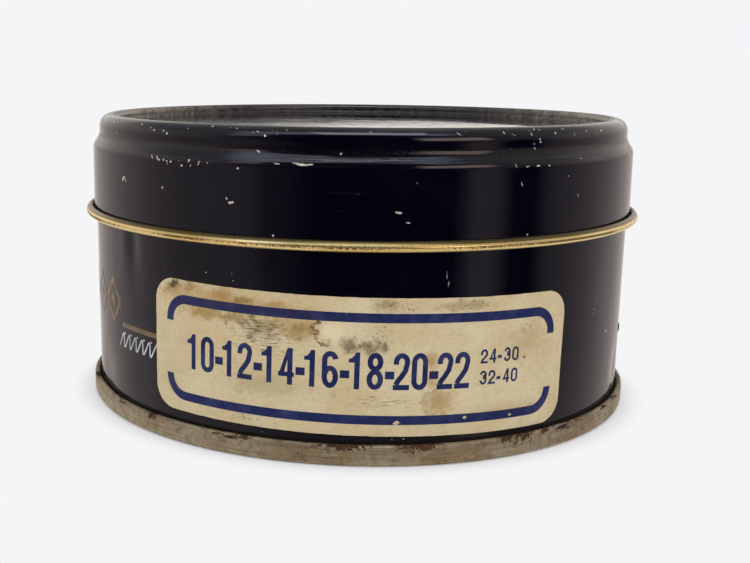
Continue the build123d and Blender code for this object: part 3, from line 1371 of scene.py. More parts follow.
@dataclass
class TinWall:
    """The wall: a sheet bent round to a side seam at the back, with a rolled rim and a hooked foot."""

    shop: Workshop
    hook_step: float = 1.0
    hook_top: float = 3.45
    foot: float = 0.65
    hook_round: float = 0.45
    rim_roll: float = 0.75
    rim_turn: float = math.radians(285)
    seam_line_width: float = 0.45
    seam_line_depth: float = 0.12
    fold_width: float = 5.0
    fold_layers: int = 3
    fold_ends: Point = (3.6, 4.8)
    fold_edge: float = 0.4
    fold_eased: float = 0.25
    fold_overlap: float = 0.05

    def line(self) -> SheetLine:
        """Gives the middle line of the wall's sheet.

        Returns:
            The line.
        """
        sizes = self.shop.sizes
        wall = sizes.wall_middle
        hook, roll_height = wall + self.hook_step, sizes.rim_top - self.rim_roll - sizes.wall_sheet / 2
        corners = [(hook, self.hook_top), (hook, self.foot), (wall, self.foot), (wall, roll_height)]
        line = SheetLine.folded(corners, (self.hook_round,) * 2)
        line.curl(self.rim_roll, self.rim_turn)
        return line

    def build(self) -> Piece:
        """Builds the wall's shell.

        Returns:
            The shell.
        """
        sizes, finishes = self.shop.sizes, self.shop.finishes
        radius = sizes.wall_radius
        below_lid = Exposed(radius, sizes.lid_foot - 3.0, 2.5, 0.25)
        on_rim = Exposed(radius - 0.6, sizes.rim_top, 1.2, 0.9)
        sheet = TurnedSheet(self.line(), sizes.wall_sheet, Face.INSIDE, (below_lid, on_rim))
        sheet.seam_turn, sheet.seam_depth = self.seam_line_width / radius, self.seam_line_depth
        piece = sheet.build(self.shop.lathe, "wall_shell", finishes.enamel, finishes.gold)
        return self.shop.settle(piece, Body.TIN, Slot.ENAMEL, "tin_wall")

    def build_fold(self) -> Piece:
        """Builds the folded side seam inside the wall, at the back.

        Returns:
            The fold.
        """
        sizes = self.shop.sizes
        inner = sizes.wall_radius - sizes.wall_sheet
        low_margin, high_margin = self.fold_ends
        back = math.pi * inner
        shape = Flat()
        low, high = sizes.floor_height + sizes.end_sheet + low_margin, sizes.rim_top - high_margin
        shape.block(back, low, back + self.fold_width, high)

        def bend(along: float, up: float, out: float) -> Place:
            """Bends a place round the wall, and thins the fold's inner face towards its two edges.

            Args:
                along: The arc.
                up: The height.
                out: How far out it lies from the wall's inner face.

            Returns:
                The place in metres.
            """
            edge = min(1.0, min(along - back, back + self.fold_width - along) / self.fold_edge)
            eased = out if out > 0 else out * (1 - self.fold_eased + self.fold_eased * edge)
            return on_wall(along, up, inner, eased)

        depth = self.fold_layers * sizes.wall_sheet
        gold, overlap = self.shop.finishes.gold, self.fold_overlap
        piece = self.shop.lay("side_seam_fold", shape, bend, -depth, overlap, gold)
        return self.shop.settle(piece, Body.TIN, Slot.GOLD)


@dataclass
class BottomEnd:
    """The bottom end: a floor with a shallow rise, seamed round the foot of the wall."""

    shop: Workshop
    chuck_step: float = 0.5
    hook_step: float = 0.5
    seam_step: float = 1.5
    floor_rise: float = 0.6
    floor_band: float = 8.7
    floor_slope: float = 1.0
    rounds: tuple[float, ...] = (0.60, 0.60, 0.60, 0.85, 0.85, 0.45, 0.45)
    hook_foot: float = 1.25

    def line(self) -> SheetLine:
        """Gives the middle line of the end's sheet.

        Returns:
            The line.
        """
        sizes = self.shop.sizes
        half, wall = sizes.end_sheet / 2, sizes.wall_middle
        chuck, hook, seam = wall - self.chuck_step, wall + self.hook_step, wall + self.seam_step
        floor, seam_top = sizes.floor_height + half, SEAM_TOP - half
        slope, rise = chuck - self.floor_band, floor + self.floor_rise
        corners = [(0.0, rise), (slope - self.floor_slope, rise), (slope, floor), (chuck, floor)]
        corners += [(chuck, half), (seam, half), (seam, seam_top), (hook, seam_top), (hook, self.hook_foot)]
        return SheetLine.folded(corners, self.rounds)

    def build(self) -> Piece:
        """Builds the end's shell.

        Returns:
            The shell.
        """
        sizes, finishes = self.shop.sizes, self.shop.finishes
        grimy = (
            Exposed(sizes.wall_radius + 0.15, SEAM_TOP - 0.25, 0.30),
            Exposed(sizes.wall_middle + self.seam_step - 0.6, 0.0, 0.7, 0.7),
            Exposed(sizes.wall_middle - 0.4, sizes.floor_height, 1.6, 0.8),
        )
        sheet = TurnedSheet(self.line(), sizes.end_sheet, Face.INSIDE, grimy=grimy)
        piece = sheet.build(self.shop.lathe, "bottom_shell", finishes.tinplate, finishes.gold)
        return self.shop.settle(piece, Body.TIN, Slot.TINPLATE, "bottom_end")


@dataclass(frozen=True)
class Numerals:
    """Plain condensed numerals, drawn with one pen."""

    tall: float
    wide: float
    pen: float
    advance: float
    dash_advance: float

    def row(self, text: str, start: float, foot: float) -> Flat:
        """Sets a row of numerals and dashes.

        Args:
            text: Digits and dashes.
            start: Where the row starts.
            foot: The height that it stands on.

        Returns:
            The row's shapes.
        """
        made = Flat(step=1.0)
        for character in text:
            made.outlines += self.draw(character).moved(start, foot)
            start += self.dash_advance if character == "-" else self.advance
        return made

    def draw(self, character: str) -> Flat:
        """Draws a dash, or one of the digits below, at the origin.

        Args:
            character: The dash or digit.

        Returns:
            Its shape.
        """
        shape = Flat()
        tall, wide, pen, half = self.tall, self.wide, self.pen, self.pen / 2
        middle, top, foot = wide / 2, tall - half, half
        across = middle - half
        cap = across * 1.22
        left, right = half, wide - half
        if character == "-":
            shape.block(-0.05, tall * 0.29, 1.5 * pen + 0.2, tall * 0.29 + pen * 1.5)
        elif character == "0":
            bowl = oval((middle, top - cap), across, cap, 0, 180)
            shape.stroke([(right, foot + cap), *bowl, (left, tall / 2)], pen)
            bowl = oval((middle, foot + cap), across, cap, 180, 360)
            shape.stroke([(left, tall / 2 + 0.1), *bowl, (right, top - cap)], pen)
        elif character == "1":
            stem, flag = wide * 0.36, tall * 0.72
            tip = (stem + pen * 0.25, tall)
            shape.add([(stem, 0), (stem + pen, 0), (stem + pen, tall), tip, (stem, flag)])
            hook = [(0.05, flag), (stem + 0.1, flag), (stem + pen * 0.5, tall), tip]
            hook += [(stem - pen * 0.1, tall * 0.9), (stem * 0.5, tall * 0.835), (0.05, tall * 0.82)]
            shape.add(hook)
        elif character == "2":
            path = [(left, top - cap * 1.35), *oval((middle, top - cap), across, cap, 180, -20)]
            path += [(right - across * 0.32, tall * 0.52), (middle, tall * 0.36)]
            path += [(left + across * 0.32, tall * 0.23), (left + 0.04, foot + half)]
            shape.stroke(path, pen)
            shape.block(0, 0, wide, pen)
        elif character == "3":
            shape.stroke(oval((middle, top - cap * 0.98), across * 0.95, cap * 0.98, 170, -92), pen)
            shape.stroke(oval((middle, foot + cap * 1.16), across, cap * 1.16, 92, -170), pen)
            low, high = tall * 0.545 - half, tall * 0.545 + half
            shape.add([(middle - half, low), (middle + half, low), (middle + half, high)])
        elif character == "4":
            stem, bar = wide * 0.58, tall * 0.22
            shape.block(stem, 0, stem + pen, tall)
            shape.block(0, bar, wide, bar + pen * 0.9)
            slope = [(0, bar), (pen * 0.95, bar), (stem + pen * 0.3, tall * 0.86), (stem + pen * 0.3, tall)]
            shape.add([*slope, (stem, tall)])
        elif character == "6":
            shape.ring((middle, foot + cap * 1.32), across, cap * 1.32, pen)
            path = [(left, foot + cap * 1.2), (left, tall * 0.6)]
            shape.stroke(path + oval((middle, top - cap), across, cap, 180, 12), pen)
        elif character == "8":
            shape.ring((middle, top - cap * 1.02), across * 0.93, cap * 1.02, pen)
            shape.ring((middle, foot + cap * 1.16), across, cap * 1.16, pen)
        else:
            raise ValueError(f"no drawing for {character!r}")
        return shape


Row = tuple[str, float, float]  # a text, where it starts and the height that it stands on


@dataclass
class PaperLabel:
    """The glued paper label, a little crooked, with a broken border and plain size numbers."""

    shop: Workshop
    width: float = 86.4
    tall: float = 26.2
    middle: float = 18.8
    shift: float = 0.6
    tilt: float = math.radians(-0.88)
    corner: float = 4.8
    raggedness: float = 0.07
    ragged_step: float = 0.7
    seed: int = 7
    ink_lift: float = 0.02
    border_width: float = 1.75
    border_ends: Point = (-39.1, 39.5)
    border_lines: Point = (9.35, -9.95)
    border_stubs: Point = (4.8, -5.8)
    border_round: float = 4.1
    border_steps: int = 70
    large: Numerals = Numerals(7.0, 3.02, 0.98, 3.38, 1.47)
    small: Numerals = Numerals(2.7, 1.5, 0.40, 1.86, 1.3)
    sizes_row: Row = ("10-12-14-16-18-20-22", -34.6, -4.1)
    notes_rows: tuple[Row, Row] = (("24-30", 23.3, 0.4), ("32-40", 23.3, -3.7))

    def bend(self, along: float, up: float, out: float) -> Place:
        """Bends a place on the flat label round the wall.

        Args:
            along: Millimetres from the label's middle, to the right.
            up: Millimetres up from its middle.
            out: Millimetres out from its face.

        Returns:
            The point in metres.
        """
        radius = self.shop.sizes.wall_radius + self.shop.sizes.glue_gap + self.shop.sizes.label_paper
        arc = self.shift + along * math.cos(self.tilt) - up * math.sin(self.tilt)
        height = self.middle + along * math.sin(self.tilt) + up * math.cos(self.tilt)
        return on_wall(arc, height, radius, out)

    def outline(self) -> list[Point]:
        """Gives the paper's outline with its slightly ragged cut.

        Returns:
            The outline.
        """
        x, y = self.width / 2 - self.corner, self.tall / 2 - self.corner
        points: list[Point] = []
        for i, centre in enumerate(((x, y), (-x, y), (-x, -y), (x, -y))):
            points += oval(centre, self.corner, self.corner, 90 * i, 90 * i + 90, 14)
        dense: list[Point] = []
        for a, b in zip(points, [*points[1:], points[0]]):
            steps = max(1, round(math.dist(a, b) / self.ragged_step))
            dense += [tuple(p + (q - p) * i / steps for p, q in zip(a, b)) for i in range(steps)]
        dice = random.Random(self.seed)
        wander, made = 0.0, []
        for x, y in dense:
            wander = wander * 0.8 + dice.uniform(-1, 1) * self.raggedness
            reach = math.hypot(x / self.width, y / self.tall) * 2
            made.append((x - wander * x / self.width / reach, y - abs(wander) * y / self.tall / reach))
        return made

    def border(self) -> Flat:
        """Draws the border: a long bracket above and one below.

        Returns:
            The border.
        """
        shape = Flat(step=1.0)
        left, right = self.border_ends
        bend, steps = self.border_round, self.border_steps
        reach = right - left - 2 * bend
        for line, stub in zip(self.border_lines, self.border_stubs):
            way = math.copysign(1.0, line)
            path = [(left, stub), *oval((left + bend, line - way * bend), bend, bend, 180, 180 - 90 * way)]
            path += [(left + bend + reach * i / steps, line) for i in range(1, steps)]
            path += oval((right - bend, line - way * bend), bend, bend, 90 * way, 0)
            shape.stroke([*path, (right, stub)], self.border_width)
        return shape

    def build(self) -> None:
        """Builds the paper, and the border and numbers that are printed on it."""
        finishes = self.shop.finishes
        paper = Flat(step=0.8)
        paper.add(self.outline())
        back = -self.shop.sizes.label_paper
        sheet = self.shop.lay("label_sheet", paper, self.bend, back, 0.0, finishes.paper)
        self.shop.settle(sheet, Body.TIN, Slot.PAPER, "label")
        upper, lower = (self.small.row(*row) for row in self.notes_rows)
        notes = Flat(upper.outlines + lower.outlines, upper.step)
        numbers = self.large.row(*self.sizes_row)
        shapes = {"label_border": self.border(), "label_numbers": numbers, "label_small_numbers": notes}
        for name, shape in shapes.items():
            piece = self.shop.lay(name, shape, self.bend, -self.ink_lift, self.ink_lift, finishes.ink)
            self.shop.settle(piece, Body.TIN, Slot.INK)


class BandTree(ShapeTree):
    """Repeats a flat motif in a row and bends the row round the wall."""

    def __init__(self) -> None:
        """Builds the tree."""
        sizes = dict.fromkeys(("first", "pitch", "height", "radius"), float)
        super().__init__("printed_band", count=int, **sizes, finish=Material)
        start = self.vector(self.given["first"], 0.0, self.given["height"])
        step = self.vector(self.given["pitch"], 0.0, 0.0)
        line = {"Count": self.given["count"], "Start Location": start, "Offset": step}
        row = self.shape("MeshLine", line, mode="OFFSET")
        copies = self.shape("InstanceOnPoints", {"Points": row, "Instance": self.given["geometry"]})
        flat = self.shape("RealizeInstances", {0: copies})
        x, y, z = self.split(self.shape("InputPosition"))
        turn, reach = x / self.given["radius"], self.given["radius"] + y
        place = self.vector(reach * self.math("SINE", turn), reach * self.math("COSINE", turn) * -1.0, z)
        self.close(self.shape("SetPosition", {0: flat, 2: place}), (True, self.given["finish"]))


@dataclass(frozen=True)
class Band:
    """A row of a printed motif: where its first one is, how far apart they are, and how many."""

    arc: float
    height: float
    pitch: float
    count: int


@dataclass
class WallOrnament:
    """A plain printed ornament beside the label: a gold line, gold lozenges and a white scroll."""

    shop: Workshop
    lift: float = 0.012
    line_band: Band = Band(-55.9, 19.95, 1.0, 1)
    line_length: float = 13.9
    line_width: float = 1.05
    lozenge_band: Band = Band(-106.6, 24.4, 9.2, 6)
    lozenge_half: Point = (3.9, 4.6)
    lozenge_pen: float = 1.15
    lozenge_core: float = 0.35
    wave_band: Band = Band(-55.9, 16.7, 2.55, 6)
    wave_tall: float = 2.9
    wave_slant: float = 0.32
    wave_pen: float = 0.36
    wave_dot: float = 0.24
    wave_steps: int = 16

    @staticmethod
    def flat_place(along: float, up: float, out: float) -> Place:
        """Leaves a place flat, with the way out as Y."""
        return along * MM, out * MM, up * MM

    def line(self) -> Flat:
        """Draws the line that runs from the lozenges to the label.

        Returns:
            The line.
        """
        shape = Flat(step=1.0)
        shape.block(0, -self.line_width / 2, self.line_length, self.line_width / 2)
        return shape

    def lozenge(self) -> Flat:
        """Draws one outlined lozenge with a small solid one in it.

        Returns:
            The lozenge.
        """
        shape = Flat(step=1.2)
        across, upright = self.lozenge_half
        tips = [(across, 0.0), (0.0, upright), (-across, 0.0), (0.0, -upright)]
        for a, b in zip(tips, tips[1:] + tips[:1]):
            shape.stroke([a, ((a[0] + b[0]) / 2, (a[1] + b[1]) / 2), b], self.lozenge_pen)
        shape.add([(x * self.lozenge_core, y * self.lozenge_core) for x, y in tips])
        return shape

    def wave(self) -> Flat:
        """Draws one slanted wave of the scroll, with a dot over it.

        Returns:
            The wave.
        """
        shape = Flat(step=1.2)
        pitch, steps = self.wave_band.pitch, self.wave_steps
        ups = [-self.wave_tall / 2 * math.cos(math.tau * i / steps) for i in range(steps + 1)]
        path = [(-pitch / 2 + pitch * i / steps + up * self.wave_slant, up) for i, up in enumerate(ups)]
        shape.stroke(path, self.wave_pen)
        shape.add(oval((pitch * 0.45, self.wave_tall * 0.55), self.wave_dot, self.wave_dot, 0, 330, 11))
        return shape

    def build(self) -> None:
        """Builds the three printed pieces."""
        tree, finishes = BandTree(), self.shop.finishes
        rows = (
            ("gold_line", self.line(), self.line_band, finishes.gilding),
            ("gold_lozenges", self.lozenge(), self.lozenge_band, finishes.gilding),
            ("white_scroll", self.wave(), self.wave_band, finishes.white),
        )
        for name, shape, band, finish in rows:
            motif = shape.plate(name, self.flat_place, -self.lift, self.lift)
            places = {"first": band.arc * MM, "height": band.height * MM, "pitch": band.pitch * MM}
            radius = self.shop.sizes.wall_radius * MM
            piece = tree.run(name, motif, count=band.count, radius=radius, finish=finish, **places)
            turn_faces_out(self.shop.settle(piece, Body.TIN, Slot.ENAMEL).data)


class FlakeTree(ShapeTree):
    """Sets a small ragged flake at each point of a cloud that carries their sizes and turns."""

    def __init__(self) -> None:
        """Builds the tree."""
        super().__init__("ragged_flakes", raggedness=float, grain=float, finish=Material)
        ball = self.shape("MeshIcoSphere", {"Radius": 1.0, "Subdivisions": 2}, "Mesh")
        turn = self.value("FunctionNodeEulerToRotation", {0: self.attribute("turn", "FLOAT_VECTOR")})
        size = self.attribute("size", "FLOAT_VECTOR")
        placed = {"Points": self.given["geometry"], "Instance": ball, "Rotation": turn, "Scale": size}
        real = self.shape("RealizeInstances", {0: self.shape("InstanceOnPoints", placed)})
        swirls = {"Vector": self.shape("InputPosition"), "Scale": self.given["grain"], "Detail": 2.0}
        swirl = self.value("ShaderNodeTexNoise", swirls, "Color")
        shift = self.vectors("SUBTRACT", {0: swirl, 1: (0.5, 0.5, 0.5)})
        flat = self.shape("InputNormal")
        out = self.vectors("DOT_PRODUCT", {0: shift, 1: flat}, "Value")
        sideways = self.vectors("SUBTRACT", {0: shift, 1: self.vectors("SCALE", {0: flat, "Scale": out})})
        moved = self.vectors("SCALE", {0: sideways, "Scale": self.given["raggedness"]})
        self.close(self.shape("SetPosition", {0: real, 3: moved}), (True, self.given["finish"]))


@dataclass(frozen=True)
class Chip:
    """A chip or scratch at a place on the wall, in millimetres, with its turn in degrees."""

    arc: float
    height: float
    width: float
    tall: float
    turn: float = 0.0


@dataclass(frozen=True)
class ChipCluster:
    """Small chips scattered round a place on the wall."""

    arc: float
    height: float
    half_width: float
    half_height: float
    count: int
    size: float


@dataclass
class PaintWear:
    """The chips and scuffs that show as small flakes of bared metal."""

    shop: Workshop
    seed: int = 21
    thickness: float = 0.05
    raggedness: float = 0.6
    grain: float = 1.7
    half_size: float = 0.62
    sunk: float = 0.2
    lid_chips: tuple[Chip, ...] = (
        Chip(-62.1, 60.95, 0.85, 0.2), Chip(-59.3, 60.95, 0.5, 0.15), Chip(-48.8, 61.1, 0.6, 0.2, -8),
        Chip(-43.8, 60.25, 0.45, 0.3, 40), Chip(-40.8, 60.2, 0.4, 0.22, -40),
        Chip(-39.8, 59.85, 0.5, 0.3, -55), Chip(-29, 61.5, 0.35, 0.3), Chip(-23.5, 61.35, 0.3, 0.22, -30),
        Chip(-19, 60.9, 0.5, 0.16, -10), Chip(-17.4, 60.3, 0.5, 0.28, -48),
        Chip(-18.6, 57.5, 0.9, 0.16, -30), Chip(-3.2, 57.4, 0.42, 0.24, 30),
        Chip(-42.6, 55.35, 0.75, 0.14, -55), Chip(-41, 55.2, 0.9, 0.24, -52),
        Chip(-40.4, 54.9, 0.4, 0.16, -50), Chip(-39.2, 55, 0.36, 0.34), Chip(-38.3, 54.75, 0.3, 0.3),
        Chip(-37.3, 54.75, 0.4, 0.34), Chip(-34.4, 54.2, 0.34, 0.3), Chip(-32.3, 54.35, 0.2, 0.5, -8),
        Chip(-30.4, 54.9, 0.2, 0.7, -22), Chip(-22, 54.4, 0.34, 0.3), Chip(-52.9, 50.3, 0.34, 1.15, -24),
        Chip(-52.4, 50.65, 0.5, 0.35, 20), Chip(-51.9, 50.2, 0.24, 0.8, 18),
        Chip(-39.6, 49.7, 0.36, 0.5, 10), Chip(-23.6, 48.1, 0.62, 0.5, 20),
        Chip(-23.1, 48.2, 0.5, 0.34, -20), Chip(-24.3, 48.8, 0.22, 0.5, 16),
        Chip(-15.1, 42.6, 0.32, 0.42, 25), Chip(-10.9, 55.62, 1.5, 0.2, -8),
        Chip(-9.9, 55.45, 1.9, 0.36, -3), Chip(-8.7, 55.5, 1.3, 0.22, 4), Chip(-14.6, 55.5, 1.2, 0.12, -6),
        Chip(7.2, 47.3, 1.15, 0.36, -10), Chip(8.9, 45.5, 0.7, 0.14, -4), Chip(18.3, 60.9, 0.9, 0.13, -48),
        Chip(27.6, 60.95, 0.6, 0.12, -50), Chip(33.7, 60.7, 0.15, 0.75, 6), Chip(39.9, 60.7, 0.3, 0.42, 10),
        Chip(42.6, 61.3, 0.6, 0.1, -30), Chip(49.8, 60.8, 0.3, 0.3, -40), Chip(55.6, 60.6, 0.36, 0.42, -30),
        Chip(35.6, 59.7, 0.3, 0.3, -40), Chip(34.5, 58, 0.75, 0.13, -48), Chip(29.2, 55.2, 0.12, 0.6, 16),
        Chip(31.8, 55, 0.7, 0.14, 12), Chip(34.2, 55.05, 0.85, 0.2, 5), Chip(36.9, 55, 0.26, 0.26),
        Chip(46, 55.9, 0.34, 0.2), Chip(32.4, 42.55, 0.34, 0.3), Chip(45.3, 49, 0.16, 0.5, 14),
        Chip(30.6, 51.9, 0.12, 0.9, 18),
    )
    lid_clusters: tuple[ChipCluster, ...] = (
        ChipCluster(-20, 61, 10, 0.5, 6, 0.13), ChipCluster(34, 60.6, 14, 0.9, 6, 0.15),
        ChipCluster(34, 58.8, 8, 1, 3, 0.15), ChipCluster(-36, 54.6, 9, 0.8, 6, 0.18),
        ChipCluster(-30, 48, 26, 5, 3, 0.10), ChipCluster(30, 49, 26, 5, 2, 0.10),
        ChipCluster(95, 57.8, 40, 3, 18, 0.30), ChipCluster(-110, 57.8, 45, 3, 20, 0.30),
        ChipCluster(180, 55, 60, 6, 18, 0.30),
    )
    wall_clusters: tuple[ChipCluster, ...] = (
        ChipCluster(-30, 34, 25, 3, 4, 0.14), ChipCluster(10, 5, 30, 0.4, 4, 0.14),
        ChipCluster(110, 20, 35, 14, 15, 0.34), ChipCluster(-125, 20, 30, 14, 12, 0.34),
        ChipCluster(180, 34, 60, 3, 16, 0.30),
    )
    wall_scuffs: tuple[Chip, ...] = (
        Chip(16.5, 35.8, 0.12, 1.6, 4), Chip(16.9, 34.2, 0.10, 1.1, -8), Chip(56.1, 27.2, 0.2, 1.1, -30),
        Chip(55, 25.5, 0.34, 0.6, -16), Chip(54.8, 24.6, 0.2, 0.3), Chip(-57, 31.4, 0.34, 0.34, 0),
        Chip(62.4, 19.5, 2.2, 0.45, -14),
    )
    blister: Chip = Chip(78.4, 16.9, 1.6, 2.2, 12)
    blister_thickness: float = 0.8

    @staticmethod
    def scattered(clusters: Sequence[ChipCluster], dice: random.Random) -> list[Chip]:
        """Scatters the clusters' chips.

        Args:
            clusters: The clusters.
            dice: What the chips' places and sizes are drawn from.

        Returns:
            The chips.
        """
        chips = []
        for cluster in clusters:
            for _ in range(cluster.count):
                arc = cluster.arc + dice.gauss(0, 0.5) * cluster.half_width
                height = cluster.height + dice.uniform(-1, 1) * cluster.half_height
                size = cluster.size * (0.4 + 1.3 * dice.random() ** 2)
                chips.append(Chip(arc, height, size * dice.uniform(0.8, 2.6), size, dice.uniform(-60, 60)))
        return chips

    def cloud(self, name: str, chips: Sequence[Chip], surface: Piece, thickness: float) -> Mesh:
        """Makes the points that the flakes stand on.

        Args:
            name: The mesh's name.
            chips: The chips.
            surface: The shell that carries them.
            thickness: The flakes' thickness.

        Returns:
            Points on the shell, each with its flake's size and turn.
        """
        tree = BVHTree.FromObject(surface, bpy.context.evaluated_depsgraph_get())
        places, sizes, turns = [], [], []
        for chip in chips:
            start = Vector(on_wall(chip.arc, chip.height, ARC_RADIUS, ARC_RADIUS / 2))
            inward = Vector((-start.x, -start.y, 0.0))
            hit, normal, _, _ = tree.ray_cast(start, inward)
            if hit is None:
                continue
            axes = normal.to_track_quat("Z", "Y").to_matrix()
            level = inward.cross(Vector((0, 0, 1))).normalized()
            lean = math.atan2(level.dot(axes.col[1]), level.dot(axes.col[0])) + math.radians(chip.turn)
            places.append(hit - normal * thickness * self.sunk * MM)
            sizes += [chip.width * self.half_size * MM, chip.tall * self.half_size * MM, thickness / 2 * MM]
            turns += (axes @ Matrix.Rotation(lean, 3, "Z")).to_euler()[:]
        mesh = bpy.data.meshes.new(name)
        mesh.from_pydata(places, [], [])
        carry(mesh, size=sizes, turn=turns)
        return mesh

    def build(self, lid: Piece, wall: Piece) -> None:
        """Builds the flakes on the lid and on the wall.

        Args:
            lid: The lid's shell.
            wall: The wall's shell.
        """
        tree, finishes = FlakeTree(), self.shop.finishes
        dice = random.Random(self.seed)
        lid_chips = [*self.lid_chips, *self.scattered(self.lid_clusters, dice)]
        wall_chips = self.scattered(self.wall_clusters, dice)
        thin, thick = self.thickness, self.blister_thickness
        rows = (
            ("lid_chips", lid_chips, lid, thin, Body.LID, Slot.TINPLATE, finishes.bared),
            ("wall_chips", wall_chips, wall, thin, Body.TIN, Slot.TINPLATE, finishes.bared),
            ("wall_scuffs", self.wall_scuffs, wall, thin, Body.TIN, Slot.TINPLATE, finishes.scuff),
            ("wall_blister", [self.blister], wall, thick, Body.TIN, Slot.ENAMEL, finishes.enamel),
        )
        for name, chips, surface, thickness, body, slot, finish in rows:
            cloud = self.cloud(name, chips, surface, thickness)
            sizes = {"raggedness": self.raggedness * MM, "grain": self.grain / MM}
            hand_over(tree.run(name, cloud, finish=finish, **sizes), body, slot)


# The studio


@dataclass(frozen=True)
class WarmCard:
    """A warm card in front: its azimuth and half width in degrees, and the sines of its heights."""

    azimuth: float
    half_width: float
    low: float
    high: float
    level: float


